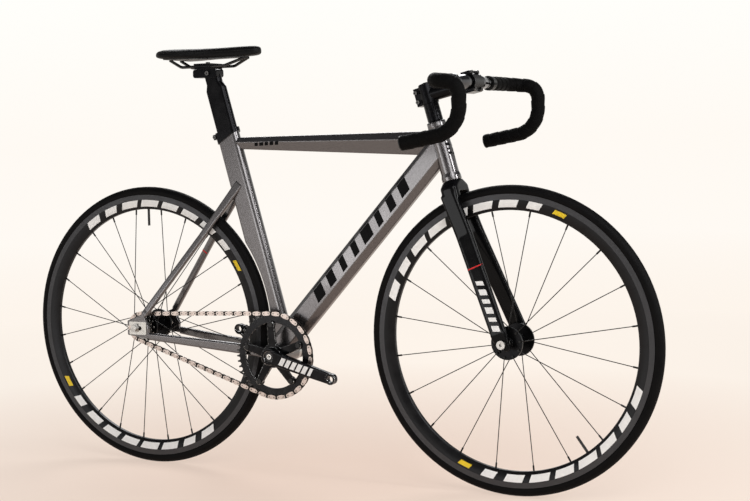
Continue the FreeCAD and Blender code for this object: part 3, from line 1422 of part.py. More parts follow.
def blade_section(distance, spread, thickness):
    """A blade's rounded section at a distance down from the crown, centred at a distance to the left."""
    edge = mm("blade_edge_round")
    deep = mm("blade_chord") / 2
    flat = outline([(deep, thickness / 2, edge), (-deep, thickness / 2, edge),
                    (-deep, -thickness / 2, edge), (deep, -thickness / 2, edge)])
    angle = math.degrees(math.atan2(blade_way.z, blade_way.x))
    return placed(flat, along(blade_top + blade_way * distance + Y_AXIS * spread, angle))


def crown_section(station, depth, width, edge):
    """A rounded section across the steering axis."""
    flat = outline([(depth / 2, width / 2, edge), (-depth / 2, width / 2, edge),
                    (-depth / 2, -width / 2, edge), (depth / 2, -width / 2, edge)])
    return placed(flat, along(steer(station), steer_angle))


blade = loft([
    blade_section(0.0, (mm("crown_width") - mm("blade_top_thickness")) / 2, mm("blade_top_thickness")),
    blade_section(blade_length * mm("blade_middle_share"), mm("blade_middle_spread"),
                  mm("blade_middle_thickness")),
    blade_section(blade_length - mm("tip_above"), tip_middle, mm("tip_thickness")),
])
crown_top = mm("fork_length") - mm("side_gap")
top_width = 2 * mm("crown_top_radius")
top_round = mm("crown_top_radius") - mm("seat_gap")
crown = loft([
    crown_section(crown_top - mm("crown_height"), mm("crown_depth"), mm("crown_width"),
                  mm("crown_edge_round")),
    crown_section(crown_top - mm("crown_shoulder"), mm("crown_depth"), mm("crown_width"),
                  mm("crown_edge_round")),
    crown_section(crown_top, top_width, top_width, top_round),
])
deep = mm("blade_chord") / 2
foot = mm("tip_foot_width") / 2
above = -mm("tip_above")
below = mm("tip_below")
aside = Vector(-blade_way.z, 0, blade_way.x)
tip_spots = []
for distance, u in ((above, -deep), (above, deep), (below, foot), (below, -foot)):
    spot = front_axle + blade_way * distance + aside * u
    tip_spots.append((spot.x, spot.z))
tip = across(tip_spots, tip_inner, mm("tip_thickness"))
arch = across_rod(mm("wheel_radius") + mm("crown_tyre_gap"), front_axle, mm("crown_inner_gap"))
slot_half = mm("front_stub_radius") + mm("seat_gap")
slot_end = across_rod(slot_half, front_axle, 2 * mm("front_hub_width"))
slot_way = Part.makeBox(2 * slot_half, 2 * mm("front_hub_width"), 2 * mm("tip_below"))
slot_way.translate(front_axle + Vector(-slot_half, -mm("front_hub_width"), -2 * mm("tip_below")))
steerer_room = Part.makeCylinder(mm("steerer_radius"), mm("head_tube_length"),
                                 steer(crown_top - mm("steerer_seat_depth")), steer_up)
fork = crown.fuse([blade, reflect(blade), tip, reflect(tip)]).removeSplitter()
feature("fork", fork.cut([arch, slot_end, slot_way, steerer_room]))

# Steerer and the pieces stacked on it above the head tube
stack_start = "head_tube_length + side_gap"
spacers_start = stack_start + " + headset_cover_height"
stem_start = spacers_start + " + spacer_count * spacer_height"
stem_end = stem_start + " + stem_clamp_height"
steerer_end = stem_end + " - steerer_top_gap"
steerer_start = "-side_gap - steerer_seat_depth"
steerer_bore = "steerer_radius - steerer_wall"
keep("fork_steerer", turned("fork_steerer_body", "XZ_Plane", [
    (steerer_bore, steerer_start), ("steerer_radius", steerer_start),
    ("steerer_radius", steerer_end), (steerer_bore, steerer_end),
], head_foot))
cover_middle = stack_start + " + headset_cover_height / 2"
keep("headset_cover", turned("headset_cover_body", "XZ_Plane", [
    ("steerer_radius", stack_start), ("headset_cover_radius", stack_start),
    ("headset_cover_radius", cover_middle), ("spacer_radius", spacers_start),
    ("steerer_radius", spacers_start),
], head_foot))
spacers = []
for number in range(int(mm("spacer_count"))):
    foot = "%s + %d * spacer_height" % (spacers_start, number)
    top = "%s + %d * spacer_height" % (spacers_start, number + 1)
    spacers.append(turned("headset_spacer_%d" % number, "XZ_Plane", [
        ("steerer_radius", foot), ("spacer_radius - spacer_groove", foot),
        ("spacer_radius", foot + " + spacer_groove"), ("spacer_radius", top + " - spacer_groove"),
        ("spacer_radius - spacer_groove", top), ("steerer_radius", top),
    ], head_foot))
keep("headset_spacers", group("headset_spacers", *spacers))
plug_start = steerer_end + " - steerer_plug_length"
keep("steerer_plug", turned("steerer_plug_body", "XZ_Plane", [
    ("top_cap_bolt_radius", plug_start), (steerer_bore, plug_start),
    (steerer_bore, steerer_end), ("top_cap_bolt_radius", steerer_end),
], head_foot))
cap_top = stem_end + " + top_cap_height"
cap = turned("top_cap_disc", "XZ_Plane", [
    ("top_cap_bolt_radius", stem_end), ("top_cap_radius", stem_end),
    ("top_cap_radius", cap_top + " - top_cap_edge"), ("top_cap_radius - top_cap_edge", cap_top),
    ("top_cap_bolt_radius", cap_top),
], head_foot)
cap_bolt = socket_bolt("top_cap_bolt", "XZ_Plane", "top_cap_bolt_radius", "top_cap_bolt_length",
                       "top_cap_bolt_head_radius", "top_cap_bolt_head_height", "top_cap_bolt_socket",
                       cap_top, head_foot)
keep("top_cap", group("top_cap", cap, cap_bolt))

# Stem: a split clamp on the steerer, a round neck, and a clamp with a bolted faceplate for the bar
stem_foot = steer(mm("fork_length") + value(stem_start))
stem_middle = stem_foot + steer_up * (mm("stem_clamp_height") / 2)
rise_angle = mm("stem_rise_angle")
stem_way = Vector(math.cos(math.radians(rise_angle)), 0, math.sin(math.radians(rise_angle)))
stem_aside = Vector(-stem_way.z, 0, stem_way.x)
bar_middle = stem_middle + stem_way * mm("stem_length")


def block(name, length, width, height, centre, angle):
    """A block centred on a point: its height runs along an angle in the side view, its width across."""
    item = doc.addObject("Part::Box", name)
    bind(item, Length=length, Width=width, Height=height)
    place = along(centre, angle)
    corner = Vector(-value(length) / 2, -value(width) / 2, -value(height) / 2)
    item.Placement = Placement(place.multVec(corner), place.Rotation)
    return item


def bar_rod(name, radius, width):
    """A round bar across the bicycle about the middle of the handlebar."""
    return rod(name, radius, width, bar_middle - Y_AXIS * (value(width) / 2), Y_AXIS)


pinch_spots = []
for side in (1, -1):
    spot = stem_middle - steer_fore * mm("stem_pinch_setback")
    pinch_spots.append(spot + steer_up * (side * mm("stem_pinch_spacing") / 2))
face_spots = []
for side in (1, -1):
    for high in (1, -1):
        spot = bar_middle + Y_AXIS * (side * mm("faceplate_bolt_spread") / 2)
        face_spots.append(spot + stem_aside * (high * mm("faceplate_bolt_spacing") / 2))

stem_body = fuse(
    "stem",
    rod("stem_clamp", "stem_clamp_radius", "stem_clamp_height", stem_foot, steer_up),
    rod("stem_neck", "stem_neck_radius", "stem_length", stem_middle, stem_way),
    bar_rod("stem_bar_clamp", "bar_clamp_radius", "bar_clamp_width"),
    block("stem_boss", "faceplate_boss_height", "bar_clamp_width", "faceplate_boss_depth",
          bar_middle - stem_way * (mm("faceplate_boss_depth") / 2), rise_angle),
    block("stem_ears", "stem_ear_length", "stem_ear_width", "stem_clamp_height",
          stem_middle - steer_fore * (mm("stem_ear_length") / 2), steer_angle),
)
stem_tools = [
    rod("stem_steerer_bore", "steerer_radius", "3 * stem_clamp_height",
        stem_foot - steer_up * mm("stem_clamp_height"), steer_up),
    bar_rod("stem_bar_bore", "bar_center_radius", "2 * bar_clamp_width"),
    block("stem_slit_room", "2 * stem_ear_length", "stem_slit", "2 * stem_clamp_height",
          stem_middle - steer_fore * mm("stem_ear_length"), steer_angle),
    block("stem_front_room", "2 * faceplate_boss_height", "2 * bar_clamp_width", "2 * bar_clamp_radius",
          bar_middle + stem_way * (mm("bar_clamp_radius") - mm("bar_clamp_split") / 2), rise_angle),
]
for number, spot in enumerate(pinch_spots):
    stem_tools.append(rod("stem_pinch_room_%d" % number, "stem_bolt_radius", "2 * stem_ear_width",
                          spot - Y_AXIS * mm("stem_ear_width"), Y_AXIS))
face_rooms = []
for number, spot in enumerate(face_spots):
    start = spot + stem_way * (mm("faceplate_boss_depth") - mm("faceplate_bolt_length"))
    face_rooms.append(rod("stem_face_room_%d" % number, "stem_bolt_radius", "2 * faceplate_bolt_length",
                          start, stem_way))
keep("stem", cut("stem", stem_body, *(stem_tools + face_rooms)))

faceplate_body = fuse(
    "stem_faceplate",
    bar_rod("faceplate_ring", "bar_clamp_radius", "bar_clamp_width"),
    block("faceplate_boss", "faceplate_boss_height", "bar_clamp_width", "faceplate_boss_depth",
          bar_middle + stem_way * (mm("faceplate_boss_depth") / 2), rise_angle),
)
faceplate_tools = [
    bar_rod("faceplate_bar_bore", "bar_center_radius", "2 * bar_clamp_width"),
    block("faceplate_rear_room", "2 * faceplate_boss_height", "2 * bar_clamp_width", "2 * bar_clamp_radius",
          bar_middle - stem_way * (mm("bar_clamp_radius") - mm("bar_clamp_split") / 2), rise_angle),
]
for number, spot in enumerate(face_spots):
    start = spot - stem_way * mm("faceplate_bolt_length")
    faceplate_tools.append(rod("faceplate_room_%d" % number, "stem_bolt_radius", "3 * faceplate_bolt_length",
                               start, stem_way))
    seat_start = spot + stem_way * mm("faceplate_boss_depth")
    faceplate_tools.append(rod("faceplate_seat_%d" % number, "stem_bolt_head_radius + side_gap",
                               "faceplate_bolt_length", seat_start, stem_way))
keep("stem_faceplate", cut("stem_faceplate", faceplate_body, *faceplate_tools))

bolts = []
for number, spot in enumerate(pinch_spots):
    bolts.append(socket_bolt("stem_pinch_bolt_%d" % number, "XY_Plane", "stem_bolt_radius", "stem_ear_width",
                             "stem_bolt_head_radius", "stem_bolt_head_height", "stem_bolt_socket",
                             "stem_ear_width / 2", Placement(spot, Rotation(Z_AXIS, 180))))
for number, spot in enumerate(face_spots):
    bolts.append(socket_bolt("stem_face_bolt_%d" % number, "XZ_Plane", "stem_bolt_radius",
                             "faceplate_bolt_length", "stem_bolt_head_radius", "stem_bolt_head_height",
                             "stem_bolt_socket", "faceplate_boss_depth", along(spot, rise_angle)))
keep("stem_bolts", group("stem_bolts", *bolts))

# Handlebar: a thick middle, then a bend forward, a hook down and a short drop back on each side
ramp = math.radians(-mm("bar_ramp_angle"))
ramp_way = Vector(math.cos(ramp), 0, math.sin(ramp))
drop = math.radians(mm("drop_angle") - 180.0)
corner_start = bar_middle + Y_AXIS * (mm("bar_half_width") - mm("bar_corner_radius"))
corner_centre = corner_start + ramp_way * mm("bar_corner_radius")
corner_crest = corner_centre + (Y_AXIS - ramp_way).normalize() * mm("bar_corner_radius")
corner_end = corner_centre + Y_AXIS * mm("bar_corner_radius")
hook_centre = round_point(corner_end, mm("hook_upper_radius"), ramp - math.pi / 2)
hook_crest = round_point(hook_centre, mm("hook_upper_radius"), (ramp + math.pi / 2) / 2)
hook_end = round_point(hook_centre, mm("hook_upper_radius"), 0.0)
low_start = hook_end - Z_AXIS * mm("hook_straight")
low_centre = low_start - X_AXIS * mm("hook_lower_radius")
low_crest = round_point(low_centre, mm("hook_lower_radius"), (drop + math.pi / 2) / 2)
low_end = round_point(low_centre, mm("hook_lower_radius"), drop + math.pi / 2)
bar_end = round_point(low_end, mm("drop_length"), drop)


def bar_path(start):
    """The bar's middle line on the left, from a distance out to its end."""
    return Part.Wire([
        Part.LineSegment(bar_middle + Y_AXIS * start, corner_start).toShape(),
        Part.Arc(corner_start, corner_crest, corner_end).toShape(),
        Part.Arc(corner_end, hook_crest, hook_end).toShape(),
        Part.LineSegment(hook_end, low_start).toShape(),
        Part.Arc(low_start, low_crest, low_end).toShape(),
        Part.LineSegment(low_end, bar_end).toShape(),
    ])


taper_start = bar_middle + Y_AXIS * mm("bar_center_half_width")
taper = Part.makeCone(mm("bar_center_radius"), mm("bar_radius"), mm("bar_taper"), taper_start, Y_AXIS)
middle = across_rod(mm("bar_center_radius"), bar_middle, 2 * mm("bar_center_half_width"))
arm_start = mm("bar_center_half_width") + mm("bar_taper")
bar_arm = swept(bar_path(arm_start), mm("bar_radius"))
drop_way = Vector(math.cos(drop), 0, math.sin(drop))
stem_room = Part.makeCylinder(mm("bar_plug_stem_radius"), mm("bar_plug_stem_length"), bar_end, drop_way * -1)
half_bar = taper.fuse(bar_arm).cut(stem_room)
feature("handlebar", middle.fuse([half_bar, reflect(half_bar)]).removeSplitter())

# Bar tape, a soft sleeve on each side, and the plugs that close the bar's ends
tape_path = bar_path(mm("tape_start"))
sleeve = swept(tape_path, mm("bar_radius") + mm("tape_thickness")).cut(swept(tape_path, mm("bar_radius")))
feature("bar_tape_left", sleeve)
feature("bar_tape_right", reflect(sleeve))
plug_cap = "bar_radius + tape_thickness"
plug = turned("bar_end_plug", "XZ_Plane", [
    ("0", "-bar_plug_stem_length"), ("bar_plug_stem_radius", "-bar_plug_stem_length"),
    ("bar_plug_stem_radius", "0"), (plug_cap, "0"), (plug_cap, "bar_plug_length / 2"),
    ("bar_plug_stem_radius", "bar_plug_length"),
    ("0", "bar_plug_length"),
], along(bar_end, mm("drop_angle") - 180.0))
keep("bar_end_plugs", group("bar_end_plugs", plug, mirrored("bar_end_plug", plug)))

# Every sub-part is written to its own file, once all of them have come out whole
doc.recompute()
for item in doc.Objects:
    if "Invalid" in item.State or "Error" in item.State:
        raise RuntimeError("%s did not build" % item.Label)
for label, item in parts.items():
    if item.Shape.isNull() or not item.Shape.isValid() or not item.Shape.Solids:
        raise RuntimeError("%s has no sound shape" % label)
os.makedirs("parts", exist_ok=True)
for label, item in parts.items():
    item.Shape.exportStep("parts/%s.step" % label)
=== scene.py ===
import math

import bmesh
import bpy
from mathutils import Euler, Matrix, Vector


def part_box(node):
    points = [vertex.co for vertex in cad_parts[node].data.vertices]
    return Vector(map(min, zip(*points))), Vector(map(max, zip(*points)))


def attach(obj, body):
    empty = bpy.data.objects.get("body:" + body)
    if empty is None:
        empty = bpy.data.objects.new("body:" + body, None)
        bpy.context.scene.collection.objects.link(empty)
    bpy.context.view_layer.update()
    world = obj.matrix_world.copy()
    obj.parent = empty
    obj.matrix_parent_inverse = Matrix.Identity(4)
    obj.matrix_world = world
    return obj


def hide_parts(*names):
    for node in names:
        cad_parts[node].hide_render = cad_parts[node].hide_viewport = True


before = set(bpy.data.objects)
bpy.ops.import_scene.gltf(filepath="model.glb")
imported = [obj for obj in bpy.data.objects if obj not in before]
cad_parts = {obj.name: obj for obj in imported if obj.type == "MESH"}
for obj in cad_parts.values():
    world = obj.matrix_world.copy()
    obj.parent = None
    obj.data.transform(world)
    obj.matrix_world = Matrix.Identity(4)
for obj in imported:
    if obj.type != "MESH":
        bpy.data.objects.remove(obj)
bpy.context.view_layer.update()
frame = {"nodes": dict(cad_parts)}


# Frame tubes and stays: shaped aluminium tubes, welded and filed smooth at the joints.
# A gunmetal metallic colour with fine flake is sprayed over all of it, under a hard clear coat.
def add_node(tree, kind, feeds=None, **settings):
    """Adds a node to a tree, with its settings, and feeds its inputs from sockets or plain values."""
    node = tree.nodes.new(kind)
    for name, setting in settings.items():
        setattr(node, name, setting)
    for key, feed in (feeds or {}).items():
        if isinstance(feed, bpy.types.NodeSocket):
            tree.links.new(feed, node.inputs[key])
        else:
            node.inputs[key].default_value = feed
    return node


def take(tree, kind, feeds=None, **settings):
    """Adds a node in the same way, and gives its first output."""
    return add_node(tree, kind, feeds, **settings).outputs[0]


def math_node(tree, operation, *feeds):
    """One sum in a tree, and its result."""
    return take(tree, "ShaderNodeMath", dict(enumerate(feeds)), operation=operation)


def vector_node(tree, operation, *feeds):
    """One sum of vectors in a tree, and its result, which is a number for a length or a dot product."""
    node = add_node(tree, "ShaderNodeVectorMath", dict(enumerate(feeds)), operation=operation)
    return node.outputs["Value" if operation in ("LENGTH", "DOT_PRODUCT") else "Vector"]


def share_between(tree, value, start, end, low=0.0, high=1.0):
    """A share that goes from low to high as a value goes from start to end, and keeps within them."""
    return take(tree, "ShaderNodeMapRange", {
        "Value": value, "From Min": start, "From Max": end, "To Min": low, "To Max": high})


def object_spot(tree):
    """Where a point of the surface lies, in metres."""
    return add_node(tree, "ShaderNodeTexCoord").outputs["Object"]


def shader_group(name, inputs, outputs):
    """An empty group of shader nodes, with inputs named by their start values and outputs by their kinds."""
    group = bpy.data.node_groups.new(name, "ShaderNodeTree")
    for label, start in inputs.items():
        kind = "NodeSocketVector" if isinstance(start, tuple) else "NodeSocketFloat"
        group.interface.new_socket(label, in_out="INPUT", socket_type=kind).default_value = start
    for label, kind in outputs.items():
        group.interface.new_socket(label, in_out="OUTPUT", socket_type="NodeSocket" + kind)
    return group, add_node(group, "NodeGroupInput").outputs, add_node(group, "NodeGroupOutput").inputs


def place_group(tree, group, **values):
    """Places a group in a material with its own values, written with low lines for spaces."""
    node = add_node(tree, "ShaderNodeGroup", node_tree=group)
    for name, setting in values.items():
        node.inputs[name.replace("_", " ")].default_value = setting
    return node.outputs


def new_finish(name, **constants):
    """A material with one Principled shader whose plain sockets are set, and its tree and shader."""
    material = bpy.data.materials.new(name)
    material.use_nodes = True
    shader = material.node_tree.nodes["Principled BSDF"]
    for label, setting in constants.items():
        shader.inputs[label.replace("_", " ")].default_value = setting
    return material, material.node_tree, shader


def mix_colours(tree, share, dark, light):
    """A colour between two others, by a share that changes over the surface."""
    node = add_node(tree, "ShaderNodeMix", {"Factor": share}, data_type="RGBA")
    for socket, colour in ((node.inputs[6], dark), (node.inputs[7], light)):
        if isinstance(colour, bpy.types.NodeSocket):
            tree.links.new(colour, socket)
        else:
            socket.default_value = (*colour, 1.0)
    return node.outputs[2]


def overlay(tree, shader, share, under, over):
    """Gives a shader one colour laid over another by a share, in place of what it had, and returns it."""
    colour = mix_colours(tree, share, under, over)
    tree.links.new(colour, shader.inputs["Base Color"])
    return colour


def raise_surface(tree, shader, height, depth, strength=1.0, over=None):
    """Feeds a bump of a real depth in metres to a shader, over a rounded normal where one is given."""
    bump = add_node(tree, "ShaderNodeBump", {"Height": height, "Distance": depth, "Strength": strength})
    if over:
        tree.links.new(over, bump.inputs["Normal"])
    tree.links.new(bump.outputs["Normal"], shader.inputs["Normal"])


def dress(material, *names):
    """Gives CAD nodes their finish."""
    for name in names:
        for slot in frame["nodes"][name].material_slots:
            slot.material = material


flake, given, result = shader_group(
    "Paint flake", {"Flakes per metre": 2600.0}, {"Share": "Float", "Height": "Float"})
cells = add_node(flake, "ShaderNodeTexVoronoi", {
    "Vector": object_spot(flake), "Scale": given["Flakes per metre"]})
tint = add_node(flake, "ShaderNodeSeparateColor", {"Color": cells.outputs["Color"]}).outputs
flake.links.new(tint["Red"], result["Share"])
flake.links.new(tint["Green"], result["Height"])

smudge, given, result = shader_group(
    "Smudges", {"Size": 14.0, "Low": 0.3, "High": 0.5}, {"Roughness": "Float", "Share": "Float"})
cloud = take(smudge, "ShaderNodeTexNoise", {
    "Vector": object_spot(smudge), "Scale": given["Size"], "Detail": 5.0, "Roughness": 0.62})
cloud_thin = 0.32
cloud_thick = 0.68
rough = share_between(smudge, cloud, cloud_thin, cloud_thick, given["Low"], given["High"])
smudge.links.new(rough, result["Roughness"])
smudge.links.new(share_between(smudge, cloud, cloud_thin, cloud_thick), result["Share"])

# A mask of rounded edges broken into patches: it carries real wear on some finishes and a painted highlight
# on others.
edge_wear_and_highlight, given, result = shader_group(
    "Edge wear and highlight", {"Width": 0.0006, "Amount": 0.5}, {"Share": "Float", "Normal": "Vector"})
rounded = take(edge_wear_and_highlight, "ShaderNodeBevel", {"Radius": given["Width"]}, samples=4)
facing = add_node(edge_wear_and_highlight, "ShaderNodeNewGeometry").outputs["Normal"]
flat_face = 0.985
sharp_edge = 0.80
bend = share_between(edge_wear_and_highlight, vector_node(edge_wear_and_highlight, "DOT_PRODUCT", rounded, facing), flat_face, sharp_edge)
patches = take(edge_wear_and_highlight, "ShaderNodeTexNoise", {"Vector": object_spot(edge_wear_and_highlight), "Scale": 260.0, "Detail": 3.0})
patch_start = 0.42
patch_full = 0.62
rubbed_and_lit = math_node(edge_wear_and_highlight, "MULTIPLY", bend, share_between(edge_wear_and_highlight, patches, patch_start, patch_full))
edge_wear_and_highlight.links.new(math_node(edge_wear_and_highlight, "MULTIPLY", rubbed_and_lit, given["Amount"]), result["Share"])
edge_wear_and_highlight.links.new(rounded, result["Normal"])

gunmetal, tree, shader = new_finish("gunmetal_paint", Metallic=0.92, Coat_Weight=0.6, Coat_Roughness=0.05)
flakes = place_group(tree, flake, Flakes_per_metre=2600.0)
overlay(tree, shader, flakes["Share"], (0.068, 0.064, 0.066), (0.182, 0.173, 0.176))
marks = place_group(tree, smudge, Size=9.0, Low=0.20, High=0.28)
tree.links.new(marks["Roughness"], shader.inputs["Roughness"])
edges = place_group(tree, edge_wear_and_highlight, Width=0.0032, Amount=0.0)
raise_surface(tree, shader, flakes["Height"], depth=0.00002, strength=0.1, over=edges["Normal"])
dress(gunmetal, "head_tube", "top_tube", "down_tube", "seat_tube", "bottom_bracket_shell", "chainstay_left",
      "chainstay_right", "seatstay_left", "seatstay_right", "dropout_left", "dropout_right")


# Rear dropout faces: stainless plates let into the ends, brushed along the slot.
# The axle's nuts bite into them, so the paint is left off.
brushed, given, result = shader_group(
    "Brushed lines", {"Lines per metre": (40.0, 1500.0, 1500.0)}, {"Height": "Float"})
drawn = vector_node(brushed, "MULTIPLY", object_spot(brushed), given["Lines per metre"])
lines = take(brushed, "ShaderNodeTexNoise", {"Vector": drawn, "Scale": 1.0, "Detail": 3.0})
brushed.links.new(lines, result["Height"])


def smudged(name, dark, light, rough, size, **constants):
    """A material whose colour and roughness change with the smudges, and its tree, shader and colour."""
    material, tree, shader = new_finish(name, **constants)
    marks = place_group(tree, smudge, Size=size, Low=rough[0], High=rough[1])
    skin = overlay(tree, shader, marks["Share"], dark, light)
    tree.links.new(marks["Roughness"], shader.inputs["Roughness"])
    return material, tree, shader, skin


def bare_metal(name, dark, light, rough, size=60.0):
    """A polished or plated metal with smudges and fine drawn lines."""
    material, tree, shader, _ = smudged(name, dark, light, rough, size, Metallic=1.0)
    raise_surface(tree, shader, place_group(tree, brushed)["Height"], depth=0.00002, strength=0.4)
    return material


stainless = bare_metal("brushed_stainless", (0.44, 0.43, 0.41), (0.60, 0.59, 0.56), rough=(0.28, 0.42))
dress(stainless, "dropout_plates")


# Seat collar, headset, stem and seatpost: turned and forged aluminium, blasted and anodised black.
# Corners that rub show the bare metal, and the small steel bolts are blackened.
def anodised(name, dark, light, bare_and_highlight, rough, wear_and_highlight=0.5, metallic=0.75, rounding=0.0006):
    """A coloured oxide skin on metal, worn to the bare metal along its edges, where a bright edge colour is
    also a painted highlight.
    """
    material, tree, shader, skin = smudged(name, dark, light, rough, 45.0, Metallic=metallic,
                                           Specular_IOR_Level=0.25)
    edges = place_group(tree, edge_wear_and_highlight, Width=rounding, Amount=wear_and_highlight)
    overlay(tree, shader, edges["Share"], skin, bare_and_highlight)
    tree.links.new(edges["Normal"], shader.inputs["Normal"])
    return material


satin_black = anodised("satin_black_aluminium", (0.004, 0.004, 0.005), (0.008, 0.008, 0.009),
                       bare_and_highlight=(0.16, 0.16, 0.16), rough=(0.20, 0.30))
dress(satin_black, "seat_collar", "headset_cover", "headset_spacers", "fork_steerer", "steerer_plug",
      "top_cap", "stem", "stem_faceplate", "seatpost", "saddle_clamp")
blacked_steel = bare_metal("blacked_bolt_steel", (0.10, 0.10, 0.10), (0.17, 0.165, 0.16),
                           rough=(0.30, 0.45), size=120.0)
dress(blacked_steel, "stem_bolts", "seat_collar_bolt", "saddle_clamp_bolts")
bearing_steel = bare_metal("bearing_steel", (0.38, 0.38, 0.38), (0.50, 0.50, 0.49), rough=(0.16, 0.30))
dress(bearing_steel, "headset_bearings", "front_hub_bearings", "rear_hub_bearings", "bottom_bracket_cups")


# Fork: two aero blades and a crown in one carbon moulding, lacquered black and polished.
# The moulding is a copy of its solid with the corners softened, as they come out of the mould.
def coat(*looks, **constants):
    """The material alone of a smudged finish, where nothing more is laid over it."""
    return smudged(*looks, **constants)[0]


def new_object(name, data):
    """An object in the scene that holds some data."""
    holder = bpy.data.objects.new(name, data)
    bpy.context.scene.collection.objects.link(holder)
    return holder


def set_up(shape, name, finish):
    """Keeps an edited shape as an object of that name with its finish."""
    mesh = bpy.data.meshes.new(name)
    shape.to_mesh(mesh)
    shape.free()
    mesh.materials.append(finish)
    return new_object(name, mesh)


def settle(maker, name):
    """Keeps what a maker's modifiers give as a plain mesh piece of that name, and removes the maker."""
    bpy.context.view_layer.update()
    graph = bpy.context.evaluated_depsgraph_get()
    mesh = bpy.data.meshes.new_from_object(maker.evaluated_get(graph), preserve_all_data_layers=True,
                                           depsgraph=graph)
    bpy.data.objects.remove(maker)
    mesh.name = name
    return new_object(name, mesh)


fork_gloss = coat("fork_gloss_black", (0.002, 0.002, 0.0024), (0.004, 0.004, 0.0044), rough=(0.10, 0.16),
                  size=20.0, Coat_Weight=0.1, Coat_Roughness=0.03, Specular_IOR_Level=0.06)
shape = bmesh.new()
shape.from_mesh(frame["nodes"]["fork"].data)
same_point = 0.00001
bmesh.ops.remove_doubles(shape, verts=shape.verts, dist=same_point)
maker = set_up(shape, "fork_maker", fork_gloss)
remesh = maker.modifiers.new("Skin", "REMESH")
remesh.mode = "VOXEL"
remesh.voxel_size = 0.0015
remesh.use_smooth_shade = True
soften = maker.modifiers.new("Soft", "SMOOTH")
soften.factor = 0.5
soften.iterations = 30
moulding = settle(maker, "fork_moulding")
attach(moulding, "fork_and_bar")
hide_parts("fork")


# Printed bars: plain rows of bars and stripes in ink, on the fork's blades and the frame's tubes.
# Each is a closed film that follows the face below it, sunk a little and a tenth of a millimetre proud.
def geometry_tree(name, inputs):
    """An empty Geometry Nodes tree with a geometry in and out, and named inputs listed by their kind."""
    tree = bpy.data.node_groups.new(name, "GeometryNodeTree")
    tree.interface.new_socket("Geometry", in_out="INPUT", socket_type="NodeSocketGeometry")
    for kind, labels in inputs.items():
        for label in labels:
            tree.interface.new_socket(label, in_out="INPUT", socket_type="NodeSocket" + kind)
    tree.interface.new_socket("Geometry", in_out="OUTPUT", socket_type="NodeSocketGeometry")
    return tree, add_node(tree, "NodeGroupInput").outputs, add_node(tree, "NodeGroupOutput").inputs


def grow(name, host, tree, values):
    """Runs a tree on a host mesh and keeps what it makes as a plain mesh piece of that name."""
    maker = new_object(name + "_maker", host)
    modifier = maker.modifiers.new("Maker", "NODES")
    modifier.node_group = tree
    for item in tree.interface.items_tree:
        if item.in_out == "INPUT" and item.name in values:
            modifier[item.identifier] = values[item.name]
    return settle(maker, name)


def plain_mesh(name, points, joined=False):
    """A mesh of loose points, or of one line through them, for a tree to start from."""
    mesh = bpy.data.meshes.new(name)
    edges = [(k, k + 1) for k in range(len(points) - 1)] if joined else []
    mesh.from_pydata(points, edges, [])
    return mesh


def vector_of(tree, x=0.0, y=0.0, z=0.0):
    """A vector put together from sockets or plain numbers."""
    return take(tree, "ShaderNodeCombineXYZ", {"X": x, "Y": y, "Z": z})


def gather(tree, geometries):
    """Several geometries in one."""
    join = add_node(tree, "GeometryNodeJoinGeometry")
    for geometry in geometries:
        tree.links.new(geometry, join.inputs[0])
    return join.outputs[0]


def shape_of(tree, carrier):
    """The shape of another object, where it stands."""
    node = add_node(tree, "GeometryNodeObjectInfo", {"Object": carrier}, transform_space="RELATIVE")
    return node.outputs["Geometry"]


def scaled(tree, vector, scale):
    """A vector made longer or shorter."""
    return take(tree, "ShaderNodeVectorMath", {0: vector, "Scale": scale}, operation="SCALE")


def coated(tree, geometry, finish):
    """A geometry with its finish."""
    return take(tree, "GeometryNodeSetMaterial", {"Geometry": geometry, "Material": finish})


marks_tree, given, result = geometry_tree("Marks on a face", {
    "Int": ["Count", "Seed"], "Vector": ["Place", "Turn", "Aim"], "Bool": ["Round"], "Object": ["Carrier"],
    "Float": ["Pitch", "Length", "Height", "Slant", "Spread", "Radius", "Reach", "Lift", "Depth"],
    "Material": ["Finish"]})
row = take(marks_tree, "GeometryNodeMeshLine", {
    "Count": given["Count"], "Offset": vector_of(marks_tree, given["Pitch"])})
bar = take(marks_tree, "GeometryNodeMeshGrid", {
    "Size X": given["Length"], "Size Y": given["Height"], "Vertices X": 25, "Vertices Y": 7})
least = math_node(marks_tree, "SUBTRACT", 1.0, given["Spread"])
width = add_node(marks_tree, "FunctionNodeRandomValue", {2: least, "Seed": given["Seed"]}, data_type="FLOAT")
bars = take(marks_tree, "GeometryNodeInstanceOnPoints", {
    "Points": row, "Instance": bar, "Scale": vector_of(marks_tree, width.outputs[1], 1.0, 1.0)})
flat = take(marks_tree, "GeometryNodeRealizeInstances", {"Geometry": bars})
spot = take(marks_tree, "GeometryNodeInputPosition")
part = add_node(marks_tree, "ShaderNodeSeparateXYZ", {0: spot}).outputs
lean = math_node(marks_tree, "MULTIPLY_ADD", part["Y"], given["Slant"], part["X"])
sweep = math_node(marks_tree, "DIVIDE", lean, given["Radius"])
reach = math_node(marks_tree, "ADD", part["Y"], given["Radius"])
across = math_node(marks_tree, "MULTIPLY", math_node(marks_tree, "SINE", sweep), reach)
out = math_node(marks_tree, "MULTIPLY", math_node(marks_tree, "COSINE", sweep), reach)
straight = vector_of(marks_tree, lean, part["Y"])
curved = vector_of(marks_tree, across, out)
chosen = take(marks_tree, "GeometryNodeSwitch", {"Switch": given["Round"], "False": straight, "True": curved},
              input_type="VECTOR")
shaped = take(marks_tree, "GeometryNodeSetPosition", {"Geometry": flat, "Position": chosen})
set_out = take(marks_tree, "GeometryNodeTransform", {
    "Geometry": shaped, "Translation": given["Place"], "Rotation": given["Turn"]})
ray = add_node(marks_tree, "GeometryNodeRaycast", {
    "Target Geometry": shape_of(marks_tree, given["Carrier"]), "Ray Direction": given["Aim"],
    "Ray Length": given["Reach"]}).outputs
